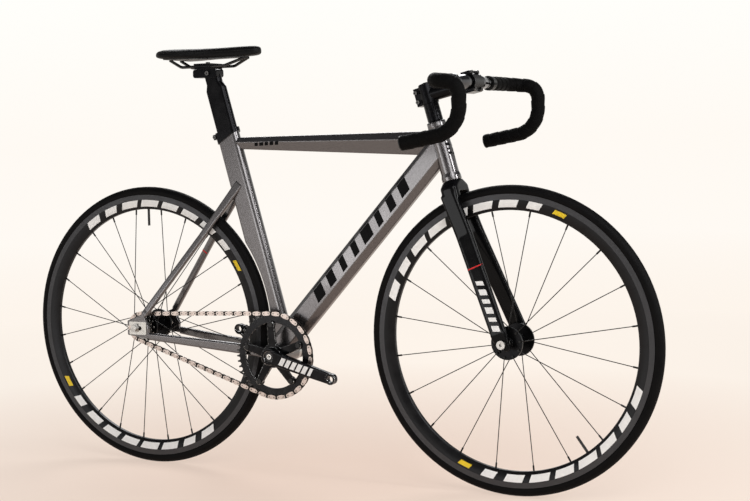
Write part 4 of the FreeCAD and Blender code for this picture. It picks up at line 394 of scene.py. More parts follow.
missed = take(marks_tree, "FunctionNodeBooleanMath", {0: ray["Is Hit"]}, operation="NOT")
on_face = take(marks_tree, "GeometryNodeDeleteGeometry", {"Geometry": set_out, "Selection": missed})
laid = take(marks_tree, "GeometryNodeSetPosition", {
    "Geometry": on_face, "Position": ray["Hit Position"],
    "Offset": scaled(marks_tree, given["Aim"], given["Depth"])})
raised = take(marks_tree, "GeometryNodeExtrudeMesh", {
    "Mesh": laid, "Offset Scale": math_node(marks_tree, "ADD", given["Depth"], given["Lift"]),
    "Individual": False})
under = take(marks_tree, "GeometryNodeFlipFaces", {"Mesh": laid})
closed = take(marks_tree, "GeometryNodeMergeByDistance", {
    "Geometry": gather(marks_tree, (raised, under)), "Distance": 0.000002})
marks_tree.links.new(coated(marks_tree, closed, given["Finish"]), result["Geometry"])


def ink(name, dark, light, shine=0.2):
    """A printed film: flat colour with slight wear."""
    return coat(name, dark, light, rough=(0.32, 0.46), size=110.0, Specular_IOR_Level=shine)


white_ink = ink("white_ink", (0.78, 0.78, 0.77), (0.86, 0.86, 0.85))
red_ink = ink("red_ink", (0.52, 0.02, 0.02), (0.62, 0.03, 0.03))
black_ink = ink("black_ink", (0.003, 0.003, 0.0035), (0.005, 0.005, 0.0055), shine=0.04)
yellow_ink = ink("yellow_ink", (0.72, 0.50, 0.02), (0.80, 0.58, 0.03))
faces = {**frame["nodes"], "fork": moulding}
standoff = 0.25
film_proud = 0.00012
film_sunk = 0.00020
least_radius = 0.001


def lay_marks(name, carrier, body, finish, centre, angle, side, length, height, count=1, pitch=0.0,
              slant=0.0, spread=0.0, seed=1, radius=0.0):
    """Lays a row of bars on one side of a piece, about a point of its side view, or round it at a radius."""
    turn = Euler((math.pi / 2, -angle, 0.0)) if side < 0 else Euler((math.pi / 2, angle - math.pi, math.pi))
    middle = Vector()
    if not radius:
        middle.x = -pitch * (count - 1) / 2
        middle.rotate(turn)
    place = Vector((centre[0], side * standoff, centre[1])) + middle
    piece = grow(name, plain_mesh(name, [(0.0, 0.0, 0.0)]), marks_tree, {
        "Count": count, "Pitch": pitch, "Length": length, "Height": height, "Slant": slant, "Spread": spread,
        "Seed": seed, "Round": radius > 0.0, "Radius": max(radius, least_radius), "Place": place,
        "Turn": Vector(turn), "Aim": Vector((0.0, -side, 0.0)), "Reach": 2 * standoff,
        "Carrier": faces[carrier], "Lift": film_proud, "Depth": film_sunk, "Finish": finish})
    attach(piece, body)


blade_angle = math.radians(112.7)
tube_angle = math.radians(47.5)
stay_angle = math.radians(51.8)
top_angle = math.radians(2.0)
for side, word, inside in ((-1, "right", "left"), (1, "left", "right")):
    lay_marks("fork_bars_" + word, "fork", "fork_and_bar", white_ink, (0.4395, 0.4170),
              blade_angle, side, count=6, pitch=0.0205, length=0.0150, height=0.0165, slant=0.35, spread=0.45,
              seed=4)
    lay_marks("fork_ring_" + word, "fork", "fork_and_bar", red_ink, (0.4054, 0.4975),
              blade_angle - math.pi / 2, side, length=0.0560, height=0.0026)
    lay_marks("down_tube_bars_" + word, "down_tube", "frame", black_ink, (0.1160, 0.5510),
              tube_angle, side, count=8, pitch=0.0460, length=0.0340, height=0.0330, slant=0.40, spread=0.5,
              seed=7)
    lay_marks("seatstay_stripe_" + inside, "seatstay_" + inside, "frame", red_ink,
              (-0.3340, 0.5150), stay_angle + math.pi / 2, side, length=0.0300, height=0.0035)
    lay_marks("top_tube_bars_" + word, "top_tube", "frame", black_ink, (-0.1270, 0.7700),
              top_angle, side, count=5, pitch=0.0140, length=0.0110, height=0.0080, slant=0.30, spread=0.4,
              seed=5)
    lay_marks("head_tube_bars_" + word, "head_tube", "frame", black_ink, (0.3376, 0.7519),
              blade_angle, side, count=3, pitch=0.0100, length=0.0068, height=0.0120, slant=0.30, spread=0.3,
              seed=9)


# Tyres: black rubber on a cotton casing, folded on to the rim, with a fine file tread on the crown.
# The inner tubes are butyl rubber, with the stem of the valve moulded into each.
round_group, given, result = shader_group(
    "Round the axle", {"Centre": (0.0, 0.0, 0.0)}, {"Radius": "Float", "Angle": "Float", "Side": "Float"})
local = vector_node(round_group, "SUBTRACT", object_spot(round_group), given["Centre"])
part = add_node(round_group, "ShaderNodeSeparateXYZ", {0: local}).outputs
side_view = vector_of(round_group, part["X"], part["Z"])
round_group.links.new(vector_node(round_group, "LENGTH", side_view), result["Radius"])
round_group.links.new(math_node(round_group, "ARCTAN2", part["Z"], part["X"]), result["Angle"])
round_group.links.new(part["Y"], result["Side"])

grain, given, result = shader_group(
    "Grain", {"Cells per metre": 900.0, "Fine share": 0.4}, {"Height": "Float"})
spot = object_spot(grain)
cells = take(grain, "ShaderNodeTexVoronoi", {"Vector": spot, "Scale": given["Cells per metre"]},
             feature="SMOOTH_F1")
finer_by = 2.7
fine_scale = math_node(grain, "MULTIPLY", given["Cells per metre"], finer_by)
fine = take(grain, "ShaderNodeTexNoise", {"Vector": spot, "Scale": fine_scale, "Detail": 3.0})
both = take(grain, "ShaderNodeMix", {"Factor": given["Fine share"], "A": cells, "B": fine}, data_type="FLOAT")
grain.links.new(both, result["Height"])

wheel_centres = {"front": (0.473, 0.0, 0.336), "rear": (-0.473, 0.0, 0.336)}
crown_radius = 0.331
crown_edge = 0.001
ribs_per_radian = 700.0
ribs_per_metre = 1500.0
for end, centre in wheel_centres.items():
    tyre_rubber, tree, shader, _ = smudged(
        end + "_tyre_rubber", (0.0018, 0.0017, 0.002), (0.0045, 0.0042, 0.0042), rough=(0.50, 0.68),
        size=26.0, Specular_IOR_Level=0.07)
    turning = place_group(tree, round_group, Centre=centre)
    casing = place_group(tree, grain, Cells_per_metre=1500.0, Fine_share=0.5)
    tread = math_node(tree, "MULTIPLY", turning["Angle"], ribs_per_radian)
    aside = math_node(tree, "ABSOLUTE", turning["Side"])
    ribs = math_node(tree, "SINE", math_node(tree, "MULTIPLY_ADD", aside, ribs_per_metre, tread))
    crown = share_between(tree, turning["Radius"], crown_radius - crown_edge, crown_radius + crown_edge)
    height = take(tree, "ShaderNodeMix", {"Factor": crown, "A": casing["Height"], "B": ribs},
                  data_type="FLOAT")
    raise_surface(tree, shader, height, depth=0.00016, strength=0.5)
    dress(tyre_rubber, end + "_tyre")

tube_rubber = coat("tube_butyl", (0.016, 0.016, 0.016), (0.030, 0.029, 0.028), rough=(0.45, 0.6), size=40.0,
                   Specular_IOR_Level=0.3)
dress(tube_rubber, "front_inner_tube", "rear_inner_tube")


# Rims: deep aluminium hoops, anodised black, with a brake track turned to dark bare metal.
# Plain white bars and a short yellow one are printed twice round each side.
def turned_grooves(tree, radius, per_metre):
    """Fine grooves round an axle, as a lathe leaves them, with so many radians of a wave to a metre."""
    return math_node(tree, "SINE", math_node(tree, "MULTIPLY", radius, per_metre))


track_radius = 0.3052
track_edge = 0.0003
for end, centre in wheel_centres.items():
    rim_black, tree, shader, skin = smudged(
        end + "_rim_black", (0.006, 0.006, 0.007), (0.011, 0.011, 0.012), rough=(0.30, 0.42), size=30.0,
        Metallic=0.7)
    turning = place_group(tree, round_group, Centre=centre)
    track = share_between(tree, turning["Radius"], track_radius - track_edge, track_radius + track_edge)
    overlay(tree, shader, track, skin, (0.045, 0.045, 0.048))
    grooves = turned_grooves(tree, turning["Radius"], per_metre=14000.0)
    raise_surface(tree, shader, math_node(tree, "MULTIPLY", grooves, track), depth=0.00003, strength=0.5)
    dress(rim_black, end + "_rim")

rim_marks_radius = 0.2965
rim_bars = 8
mark_arc = math.radians(11.5)
mark_starts = {"front": math.radians(69.5), "rear": math.radians(32.5)}
for end, centre in wheel_centres.items():
    hub = (centre[0], centre[2])
    for side, word in ((-1, "right"), (1, "left")):
        for group, start in (("a", mark_starts[end]), ("b", mark_starts[end] + math.pi)):
            lay_marks("_".join((end, "rim_bars", word, group)), end + "_rim", end + "_wheel",
                      white_ink, hub, start, side, count=rim_bars, pitch=mark_arc * rim_marks_radius,
                      length=0.050, height=0.0160, slant=0.45, spread=0.45, seed=11, radius=rim_marks_radius)
            lay_marks("_".join((end, "rim_tab", word, group)), end + "_rim", end + "_wheel",
                      yellow_ink, hub, start - rim_bars * mark_arc, side, length=0.028, height=0.010,
                      slant=0.45, radius=rim_marks_radius)


# Hubs, spokes and axles: turned black hub shells with high flanges, laced with blacked steel spokes.
# Steel axles run through the bearings, with bright bolts in front and track nuts behind.
hub_black = anodised("hub_black_aluminium", (0.006, 0.006, 0.007), (0.012, 0.012, 0.013),
                     bare_and_highlight=(0.20, 0.20, 0.20), rough=(0.26, 0.38), wear_and_highlight=0.4)
dress(hub_black, "front_hub", "rear_hub")
spoke_black = bare_metal("blacked_spoke_steel", (0.020, 0.020, 0.021), (0.038, 0.037, 0.036),
                         rough=(0.30, 0.42), size=90.0)
dress(spoke_black, "front_spokes", "rear_spokes")
axle_steel = bare_metal("axle_steel", (0.36, 0.35, 0.34), (0.56, 0.55, 0.53), rough=(0.20, 0.34), size=150.0)
dress(axle_steel, "front_axle", "rear_axle", "front_axle_bolts", "rear_axle_nuts")


# Sprockets: a hardened steel cog with its lockring behind, and an alloy chainring in front.
# The ring is anodised black, its edges are worn to bare metal and painted bright as a highlight, and the
# chain has polished its teeth.
cog_steel = bare_metal("cog_steel", (0.22, 0.215, 0.21), (0.36, 0.35, 0.335), rough=(0.24, 0.40), size=140.0)
dress(cog_steel, "rear_cog", "cog_lockring", "crank_spindle")
bracket = (-0.1012, 0.0, 0.2840)
tooth_start = 0.0935
tooth_full = 0.0965
ring_black, tree, shader, skin = smudged(
    "chainring_black", (0.008, 0.008, 0.009), (0.015, 0.015, 0.016), rough=(0.18, 0.30), size=80.0,
    Metallic=0.8)
turning = place_group(tree, round_group, Centre=bracket)
# The bright edge colour is partly worn bare metal and partly a painted highlight.
edges = place_group(tree, edge_wear_and_highlight, Width=0.0026, Amount=0.9)
skin = overlay(tree, shader, edges["Share"], skin, (0.70, 0.70, 0.69))
teeth = share_between(tree, turning["Radius"], tooth_start, tooth_full)
overlay(tree, shader, teeth, skin, (0.060, 0.058, 0.056))
grooves = turned_grooves(tree, turning["Radius"], per_metre=9000.0)
raise_surface(tree, shader, grooves, depth=0.00003, strength=0.4, over=edges["Normal"])
dress(ring_black, "chainring")


# Cranks: forged alloy arms with a five-legged spider on the right, polished and anodised black.
# Their edges are worn to bare metal and painted near-white as a highlight, and plain white bars are printed
# along the right arm.
# A steel bolt holds each arm on the spindle, with a bright ring painted round its socket as a highlight.
# The near-white edge colour is partly worn bare metal and partly a painted highlight.
crank_black = anodised("crank_black", (0.008, 0.008, 0.009), (0.014, 0.014, 0.015), bare_and_highlight=(0.80, 0.80, 0.79),
                       rough=(0.10, 0.18), wear_and_highlight=1.0, metallic=0.8, rounding=0.0034)
dress(crank_black, "crank_right", "crank_left")
dress(spoke_black, "chainring_bolts")
bolt_head, tree, shader, skin = smudged(
    "crank_bolt_steel", (0.030, 0.030, 0.031), (0.048, 0.047, 0.046), rough=(0.22, 0.34), size=120.0,
    Metallic=1.0)
turning = place_group(tree, round_group, Centre=bracket)
socket_edge = (0.0016, 0.0024)
head_edge = (0.0064, 0.0054)
past_socket = share_between(tree, turning["Radius"], *socket_edge)
within_head = share_between(tree, turning["Radius"], *head_edge)
# The bright ring between the socket and the edge of the head is a painted highlight.
overlay(tree, shader, math_node(tree, "MULTIPLY", past_socket, within_head), skin, (0.70, 0.69, 0.67))
dress(bolt_head, "crank_bolts")
pedal_eye = (0.0636, 0.2423)
crank_angle = math.atan2(pedal_eye[1] - bracket[2], pedal_eye[0] - bracket[0])
lay_marks("crank_bars", "crank_right", "crankset", white_ink, (-0.026, 0.2650), crank_angle,
          side=-1, count=6, pitch=0.0155, length=0.0122, height=0.0185, slant=0.3, spread=0.45, seed=3)


# Chain: track links of pressed plates, outer ones nickel plated and inner ones left dark.
# Rollers turn between the inner plates, and riveted pins hold each joint.
nickel = bare_metal("chain_nickel", (0.43, 0.36, 0.325), (0.58, 0.50, 0.46), rough=(0.26, 0.40), size=220.0)
dark_plate = bare_metal("chain_dark_plate", (0.018, 0.017, 0.016), (0.034, 0.032, 0.030), rough=(0.30, 0.45),
                        size=220.0)
roller_steel = bare_metal("chain_roller_steel", (0.12, 0.115, 0.11), (0.24, 0.23, 0.21), rough=(0.22, 0.36),
                          size=220.0)
chain_tree, given, result = geometry_tree("Track chain", {
    "Float": ["Pitch", "Plate Height", "Waist", "Stretch", "Thickness", "Inner Width", "Roller Radius",
              "Pin Radius", "Pin Length"],
    "Material": ["Outer Finish", "Inner Finish", "Roller Finish"]})


def drum(radius, depth, sides, finish):
    """A round bar across the chain with its finish."""
    solid = take(chain_tree, "GeometryNodeMeshCylinder", {
        "Radius": radius, "Depth": depth, "Vertices": sides})
    laid = take(chain_tree, "GeometryNodeTransform", {"Geometry": solid, "Rotation": (math.pi / 2, 0.0, 0.0)})
    return coated(chain_tree, laid, finish)


def shifted(geometry, x=0.0, y=0.0):
    """A copy of a geometry, moved along and across the chain."""
    return take(chain_tree, "GeometryNodeTransform", {
        "Geometry": geometry, "Translation": vector_of(chain_tree, x, y)})


def recalled(tree, name):
    """A number kept on the points of a geometry under that name."""
    node = add_node(tree, "GeometryNodeInputNamedAttribute", {"Name": name}, data_type="FLOAT")
    return node.outputs["Attribute"]


half = math_node(chain_tree, "MULTIPLY", given["Pitch"], 0.5)
back = math_node(chain_tree, "MULTIPLY", given["Pitch"], -0.5)
eye = math_node(chain_tree, "MULTIPLY", given["Plate Height"], 0.5)
waist = math_node(chain_tree, "MULTIPLY", given["Waist"], 0.5)
web_share = 0.92
web_depth = math_node(chain_tree, "MULTIPLY", given["Thickness"], web_share)
stretch = vector_of(chain_tree, given["Stretch"], 1.0, 1.0)
inner_gap = math_node(chain_tree, "ADD", given["Inner Width"], given["Thickness"])
inner_side = math_node(chain_tree, "MULTIPLY", inner_gap, 0.5)
outer_side = math_node(chain_tree, "ADD", inner_side, given["Thickness"])
pin = drum(given["Pin Radius"], given["Pin Length"], sides=10, finish=given["Roller Finish"])
roller = drum(given["Roller Radius"], given["Inner Width"], sides=12, finish=given["Roller Finish"])
number = take(chain_tree, "GeometryNodeInputIndex")
odd = math_node(chain_tree, "MODULO", number, 2.0)
even = math_node(chain_tree, "SUBTRACT", 1.0, odd)
turned = vector_of(chain_tree, y=recalled(chain_tree, "heading"))
rows = []
for finish, near, bearer, chosen in (("Outer Finish", outer_side, pin, odd),
                                     ("Inner Finish", inner_side, roller, even)):
    disc = drum(eye, given["Thickness"], sides=14, finish=given[finish])
    web = drum(waist, web_depth, sides=20, finish=given[finish])
    oval = take(chain_tree, "GeometryNodeTransform", {"Geometry": web, "Scale": stretch})
    plate = gather(chain_tree, [shifted(disc, half), shifted(disc, back), oval])
    far = math_node(chain_tree, "MULTIPLY", near, -1.0)
    link = gather(chain_tree, [shifted(plate, y=near), shifted(plate, y=far), shifted(bearer, half),
                               shifted(bearer, back)])
    rows.append(take(chain_tree, "GeometryNodeInstanceOnPoints", {
        "Points": given["Geometry"], "Selection": chosen, "Instance": link, "Rotation": turned}))
made = take(chain_tree, "GeometryNodeRealizeInstances", {"Geometry": gather(chain_tree, rows)})
chain_tree.links.new(made, result["Geometry"])

chain_pitch = 0.0127
chain_links = 92
ring_teeth = 48
cog_teeth = 16
chain_line = -0.0430
rear_axle = wheel_centres["rear"]
ring_radius = chain_pitch / (2 * math.sin(math.pi / ring_teeth))
cog_radius = chain_pitch / (2 * math.sin(math.pi / cog_teeth))
centres = math.dist(bracket, rear_axle)
to_cog = math.atan2(rear_axle[2] - bracket[2], rear_axle[0] - bracket[0])
lean = math.asin((ring_radius - cog_radius) / centres)
tangent = math.pi / 2 - lean
run = centres * math.cos(lean) / chain_pitch
on_ring = (2 * math.pi - 2 * tangent) * ring_teeth / (2 * math.pi)
on_cog = chain_links - on_ring - 2 * run


def on_circle(centre, radius, angle):
    """A point of a pitch circle, on the chain's line."""
    return Vector((centre[0] + radius * math.cos(angle), chain_line, centre[2] + radius * math.sin(angle)))


def chain_joint(links):
    """The joint a number of links along the loop, from where the chain meets the ring below."""
    links = links % chain_links
    ring_step = 2 * math.pi / ring_teeth
    cog_step = 2 * math.pi / cog_teeth
    if links < on_ring:
        return on_circle(bracket, ring_radius, to_cog + tangent + links * ring_step)
    links -= on_ring
    if links < run:
        return on_circle(bracket, ring_radius, to_cog - tangent).lerp(
            on_circle(rear_axle, cog_radius, to_cog - tangent), links / run)
    links -= run
    if links < on_cog:
        return on_circle(rear_axle, cog_radius, to_cog - tangent + links * cog_step)
    links -= on_cog
    return on_circle(rear_axle, cog_radius, to_cog + tangent).lerp(
        on_circle(bracket, ring_radius, to_cog + tangent), links / run)


first_joint = 0.25
middles = []
headings = []
for number in range(chain_links):
    start = chain_joint(number + first_joint)
    end = chain_joint(number + 1 + first_joint)
    middles.append((start + end) / 2)
    headings.append(-math.atan2(end.z - start.z, end.x - start.x))
host = plain_mesh("chain_loop", middles)
host.attributes.new("heading", "FLOAT", "POINT").data.foreach_set("value", headings)
chain = grow("track_chain", host, chain_tree, {
    "Pitch": chain_pitch, "Plate Height": 0.0086, "Waist": 0.0100, "Stretch": 2.1, "Thickness": 0.00115,
    "Inner Width": 0.0034, "Roller Radius": 0.00385, "Pin Radius": 0.0017, "Pin Length": 0.0092,
    "Outer Finish": nickel, "Inner Finish": dark_plate, "Roller Finish": roller_steel})
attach(chain, "frame")
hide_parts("chain")


# Saddle: a slim shell on steel rails, padded with firm foam under a smooth black cover.
# The cover is stretched over the edge and glued below, and a sewn line runs round the sides.
def grained(name, dark, light, rough, size, cells, fine, depth, strength, **constants):
    """A skin with a grain of a real depth, under the smudges."""
    material, tree, shader, _ = smudged(name, dark, light, rough, size, **constants)
    pores = place_group(tree, grain, Cells_per_metre=cells, Fine_share=fine)
    raise_surface(tree, shader, pores["Height"], depth, strength)
    return material


rail_black = bare_metal("rail_black_steel", (0.030, 0.030, 0.031), (0.055, 0.054, 0.053), rough=(0.24, 0.36),
                        size=90.0)
dress(rail_black, "saddle_rails")
shell_plastic = grained("saddle_shell_plastic", (0.012, 0.012, 0.012), (0.022, 0.022, 0.022),
                        rough=(0.42, 0.56), size=60.0, cells=2600.0, fine=0.6, depth=0.00010, strength=0.3,
                        Specular_IOR_Level=0.4)
dress(shell_plastic, "saddle_shell")
leather = grained("saddle_leather", (0.0018, 0.0018, 0.002), (0.0045, 0.0043, 0.0044), rough=(0.46, 0.60),
                  size=34.0, cells=1100.0, fine=0.35, depth=0.00025, strength=0.35, Specular_IOR_Level=0.12)
thread = coat("saddle_thread", (0.010, 0.010, 0.010), (0.020, 0.020, 0.020), rough=(0.5, 0.7), size=400.0,
              Specular_IOR_Level=0.3)

saddle_low, saddle_high = (Vector(corner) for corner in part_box("saddle_cover"))
saddle_length = saddle_high.x - saddle_low.x
saddle_half = saddle_high.y
saddle_depth = saddle_high.z - saddle_low.z
# Each row: share of the length from the tail, half width, height of the crown and of the lower edge
saddle_rows = [(0.00, 0.42, 0.80, 0.34), (0.045, 0.80, 0.98, 0.02), (0.13, 1.00, 1.04, -0.10),
               (0.225, 0.96, 1.03, -0.10), (0.37, 0.69, 0.98, -0.10), (0.52, 0.41, 0.97, -0.10),
               (0.67, 0.31, 0.99, -0.08), (0.86, 0.28, 1.03, -0.06), (0.95, 0.25, 1.02, -0.02),
               (0.985, 0.19, 0.96, 0.10), (1.004, 0.09, 0.76, 0.30)]
sector = 16
rim_share = 0.30
side_power = 0.62
crown_power = 0.75
under_power = 0.5


def saddle_point(row, turn):
    """A point round one cross-section: a crowned top, full sides and a flatter underside."""
    share, half, crown, edge = row
    wide = saddle_half * half
    rim = saddle_low.z + saddle_depth * (edge + (crown - edge) * rim_share)
    side = math.copysign(abs(math.cos(turn)) ** side_power, math.cos(turn))
    rise = math.sin(turn)
    if rise >= 0.0:
        height = rim + (saddle_low.z + saddle_depth * crown - rim) * rise ** crown_power
    else:
        height = rim - (rim - saddle_low.z - saddle_depth * edge) * (-rise) ** under_power
    return Vector((saddle_low.x + saddle_length * share, wide * side, height))


shape = bmesh.new()
rings = []
for row in saddle_rows:
    ring = [saddle_point(row, 2 * math.pi * (k + 0.5) / sector) for k in range(sector)]
    rings.append([shape.verts.new(point) for point in ring])
for one, two in zip(rings, rings[1:]):
    for k in range(sector):
        after = (k + 1) % sector
        shape.faces.new((one[k], two[k], two[after], one[after]))
shape.faces.new(rings[0])
shape.faces.new(reversed(rings[-1]))
bmesh.ops.recalc_face_normals(shape, faces=shape.faces)
saddle = set_up(shape, "saddle_pad", leather)
for face in saddle.data.polygons:
    face.use_smooth = True
smooth = saddle.modifiers.new("Smooth", "SUBSURF")
smooth.levels = 3
smooth.render_levels = 3


def even_curve(tree, line, step):
    """A line as a curve whose points lie an even step apart."""
    curve = take(tree, "GeometryNodeMeshToCurve", {"Mesh": line})
    return take(tree, "GeometryNodeResampleCurve", {"Curve": curve, "Length": step}, mode="LENGTH")


stitch_tree, given, result = geometry_tree("Stitches on a face", {
    "Float": ["Pitch", "Length", "Thickness"], "Object": ["Carrier"], "Material": ["Finish"]})
nearest = add_node(stitch_tree, "GeometryNodeProximity", {0: shape_of(stitch_tree, given["Carrier"])},
                   target_element="FACES")
laid = take(stitch_tree, "GeometryNodeSetPosition", {
    "Geometry": even_curve(stitch_tree, given["Geometry"], given["Pitch"]),
    "Position": nearest.outputs["Position"]})
spots = add_node(stitch_tree, "GeometryNodeCurveToPoints", {"Curve": laid}, mode="EVALUATED").outputs
turned = take(stitch_tree, "FunctionNodeAlignRotationToVector", {"Vector": spots["Tangent"]}, axis="X")
bead = take(stitch_tree, "GeometryNodeMeshUVSphere", {"Segments": 8, "Rings": 5, "Radius": 0.5})
sewn = take(stitch_tree, "GeometryNodeInstanceOnPoints", {
    "Points": spots["Points"], "Instance": bead, "Rotation": turned,
    "Scale": vector_of(stitch_tree, given["Length"], given["Thickness"], given["Thickness"])})
made = take(stitch_tree, "GeometryNodeRealizeInstances", {"Geometry": sewn})
stitch_tree.links.new(coated(stitch_tree, made, given["Finish"]), result["Geometry"])

seam_turn = math.radians(18)
for side, word in ((-1, "right"), (1, "left")):
    turn = seam_turn if side > 0 else math.pi - seam_turn
    points = [saddle_point(row, turn) for row in saddle_rows[1:-1]]
    host = plain_mesh("saddle_seam_" + word, points, joined=True)
    seam = grow("saddle_stitches_" + word, host, stitch_tree, {
        "Pitch": 0.0042, "Length": 0.0032, "Thickness": 0.0009, "Carrier": saddle, "Finish": thread})
    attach(seam, "seat")

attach(saddle, "seat")
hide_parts("saddle_cover")


# Handlebar: a track drop bar bent from one alloy tube, bare and polished dark beside the stem.
# Padded tape is wound up each side from the plugs, and a banded ring of tape finishes it.
bar_dark = bare_metal("bar_polished_dark", (0.060, 0.060, 0.064), (0.095, 0.095, 0.100), rough=(0.10, 0.18),
                      size=50.0)
dress(bar_dark, "handlebar")
plug_black = coat("plug_plastic", (0.010, 0.010, 0.010), (0.020, 0.020, 0.020), rough=(0.36, 0.5), size=90.0,
                  Specular_IOR_Level=0.4)
dress(plug_black, "bar_end_plugs")
tape_black = grained("bar_tape", (0.0014, 0.0014, 0.0014), (0.0034, 0.0032, 0.0031), rough=(0.62, 0.80),
                     size=48.0, cells=1400.0, fine=0.55, depth=0.0003, strength=0.5, Specular_IOR_Level=0.06,
                     Sheen_Weight=0.01, Sheen_Roughness=0.4)
vinyl = coat("band_vinyl", (0.003, 0.003, 0.003), (0.006, 0.006, 0.006), rough=(0.24, 0.36), size=90.0,
             Specular_IOR_Level=0.3)


def noted(tree, geometry, name, value):
    """A geometry with a number kept on its points under that name."""
    return take(tree, "GeometryNodeStoreNamedAttribute", {"Geometry": geometry, "Name": name, "Value": value},
                data_type="FLOAT", domain="POINT")


tape_tree, given, result = geometry_tree("Wound tape", {
    "Float": ["Radius", "Pitch", "Step", "Sample"], "Material": ["Finish"]})
length_along = add_node(tape_tree, "GeometryNodeSplineParameter").outputs["Length"]
line = noted(tape_tree, even_curve(tape_tree, given["Geometry"], given["Sample"]), "along", length_along)
ring = take(tape_tree, "GeometryNodeCurvePrimitiveCircle", {"Resolution": 36, "Radius": given["Radius"]})
share_round = add_node(tape_tree, "GeometryNodeSplineParameter").outputs["Factor"]
ring = noted(tape_tree, ring, "round", share_round)
tube = take(tape_tree, "GeometryNodeCurveToMesh", {"Curve": line, "Profile Curve": ring, "Fill Caps": True})
turns = math_node(tape_tree, "DIVIDE", recalled(tape_tree, "along"), given["Pitch"])
winding = math_node(tape_tree, "SUBTRACT", turns, recalled(tape_tree, "round"))
lap_power = 1.6
lap = math_node(tape_tree, "POWER", math_node(tape_tree, "FRACT", winding), lap_power)
sunk = math_node(tape_tree, "MULTIPLY", lap, given["Step"])
inward = math_node(tape_tree, "MULTIPLY", sunk, -1.0)
outward = add_node(tape_tree, "GeometryNodeInputNormal").outputs["Normal"]
wound = take(tape_tree, "GeometryNodeSetPosition", {
    "Geometry": tube, "Offset": scaled(tape_tree, outward, inward)})
soft = take(tape_tree, "GeometryNodeSetShadeSmooth", {"Geometry": wound})
tape_tree.links.new(coated(tape_tree, soft, given["Finish"]), result["Geometry"])

bar_middle = (0.3852, 0.8922)
tape_start = 0.0905
band_start = 0.0895
band_end = 0.1060
corner_start = 0.1730
corner_radius = 0.0420
hook_centre = (0.4240, 0.8590)
hook_radius = 0.0290
drop_centre = (0.3930, 0.8380)
drop_radius = 0.0600
drop_sweep = math.radians(80)
drop_end = (0.3246, 0.7650)
reach_tilt = math.radians(6)


def bar_line(side):
    """The bar's middle line on one side: out along the top, forward, round the hook and back below."""
    points = [Vector((bar_middle[0], side * tape_start, bar_middle[1]))]
    steps = 10
    for k in range(steps + 1):
        turn = math.pi / 2 * k / steps
        ahead = corner_radius * (1 - math.cos(turn))
        out = corner_start + corner_radius * math.sin(turn)
        points.append(Vector((bar_middle[0] + ahead * math.cos(reach_tilt), side * out,
                              bar_middle[1] - ahead * math.sin(reach_tilt))))
    wide = side * (corner_start + corner_radius)
    for k in range(1, steps + 1):
        turn = (math.pi / 2 - reach_tilt) * (1 - k / steps)
        points.append(Vector((hook_centre[0] + hook_radius * math.cos(turn), wide,
                              hook_centre[1] + hook_radius * math.sin(turn))))
    for k in range(steps + 1):
        turn = -drop_sweep * k / steps
        points.append(Vector((drop_centre[0] + drop_radius * math.cos(turn), wide,
                              drop_centre[1] + drop_radius * math.sin(turn))))
    points.append(Vector((drop_end[0], wide, drop_end[1])))
    return points


for side, word in ((-1, "right"), (1, "left")):
    host = plain_mesh("bar_line_" + word, bar_line(side), joined=True)
    tape = grow("wound_tape_" + word, host, tape_tree, {
        "Radius": 0.0158, "Pitch": 0.024, "Step": 0.0012, "Sample": 0.0011, "Finish": tape_black})
    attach(tape, "fork_and_bar")
    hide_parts("bar_tape_" + word)
    points = [Vector((bar_middle[0], side * out, bar_middle[1])) for out in (band_start, band_end)]
    host = plain_mesh("band_line_" + word, points, joined=True)
    band = grow("tape_band_" + word, host, tape_tree, {
        "Radius": 0.0162, "Pitch": 0.0075, "Step": 0.0004, "Sample": 0.0005, "Finish": vinyl})
    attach(band, "fork_and_bar")


# Floor, light and camera: a pale floor that runs out to a pale horizon, under a dim ceiling.
# A large soft lamp stands by the camera, a narrow one ahead, and weaker ones beside and behind the bike.
# The camera stands to the right and ahead of the bike, at the height of its top tube.
scene = bpy.context.scene
scene.view_settings.view_transform = "Standard"
floor_radius = 45.0
floor_sides = 96
far_tone = (1.0, 0.955, 0.900)
dim_tone = (0.36, 0.345, 0.33)
to_back = Vector((-0.46399, 0.88288, 0.0)).normalized()
paper, tree, shader = new_finish("studio_paper", Roughness=0.9, Specular_IOR_Level=0.1)
spot = object_spot(tree)
far = vector_node(tree, "LENGTH", spot)
near = share_between(tree, far, 0.2, 1.8)
tone = mix_colours(tree, near, (0.84, 0.67, 0.57), (0.98, 0.895, 0.81))
away = share_between(tree, far, 1.6, 9.0)
tone = mix_colours(tree, away, tone, far_tone)
front = share_between(tree, vector_node(tree, "DOT_PRODUCT", spot, to_back), -1.2, -6.0)
tone = overlay(tree, shader, front, tone, dim_tone)
path = add_node(tree, "ShaderNodeLightPath").outputs
seen = math_node(tree, "MAXIMUM", path["Is Camera Ray"], path["Is Glossy Ray"])
seen = math_node(tree, "MAXIMUM", seen, path["Is Transmission Ray"])
lit = share_between(tree, far, 0.9, 3.5, low=0.7)
held = math_node(tree, "MULTIPLY", seen, lit)
glow = take(tree, "ShaderNodeEmission", {"Color": tone, "Strength": 1.0})
blend = take(tree, "ShaderNodeMixShader", {0: held, 1: shader.outputs[0], 2: glow})
tree.links.new(blend, tree.nodes["Material Output"].inputs["Surface"])
shape = bmesh.new()
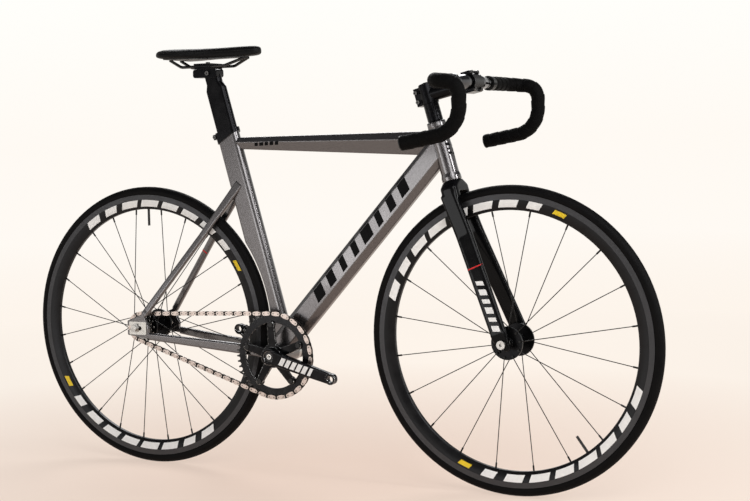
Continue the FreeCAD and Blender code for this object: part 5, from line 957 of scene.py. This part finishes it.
bmesh.ops.create_circle(shape, cap_ends=True, segments=floor_sides, radius=floor_radius)
floor = set_up(shape, "studio_floor", paper)

world = bpy.data.worlds.new("studio")
scene.world = world
world.use_nodes = True
tree = world.node_tree
way = add_node(tree, "ShaderNodeTexCoord").outputs["Generated"]
rise = add_node(tree, "ShaderNodeSeparateXYZ", {0: way}).outputs["Z"]
low = share_between(tree, rise, 0.0, 0.09)
tone = mix_colours(tree, low, far_tone, (1.0, 0.995, 0.960))
front = share_between(tree, vector_node(tree, "DOT_PRODUCT", way, to_back), 0.1, -0.6)
tone = mix_colours(tree, front, tone, dim_tone)
high = share_between(tree, rise, 0.16, 0.42)
tone = mix_colours(tree, high, tone, (0.11, 0.11, 0.115))
tree.links.new(tone, tree.nodes["Background"].inputs["Color"])

for name, place, aim, wide, tall, power in (
        ("key_lamp", (2.4, -2.6, 2.9), (0.0, 0.0, 0.5), 2.6, 2.6, 108.0),
        ("strip_lamp", (3.0, -0.1, 1.8), (0.2, 0.0, 0.6), 0.28, 1.8, 42.0),
        ("side_lamp", (-1.6, -3.7, 0.38), (0.1, 0.0, 0.40), 2.4, 0.64, 19.0),
        ("back_lamp", (-1.2, 2.6, 2.8), (0.0, 0.0, 0.5), 2.2, 2.2, 84.0)):
    lamp = bpy.data.lights.new(name, "AREA")
    lamp.shape = "RECTANGLE"
    lamp.size = wide
    lamp.size_y = tall
    lamp.energy = power
    holder = new_object(name, lamp)
    holder.location = place
    holder.visible_camera = False
    holder.rotation_euler = (Vector(aim) - Vector(place)).to_track_quat("-Z", "Y").to_euler()

camera = bpy.data.cameras.new("photo_view")
camera.sensor_width = 36.0
camera.lens = 72.95
aside = Vector((0.88572, 0.46374, -0.02120))
below = Vector((0.01484, -0.07391, -0.99715))
ahead = Vector((-0.46399, 0.88288, -0.07234))
view = Matrix((aside, -below, -ahead)).transposed().to_4x4()
view.translation = (1.7210, -3.0020, 0.7724)
holder = new_object("photo_view", camera)
holder.matrix_world = view
scene.camera = holder
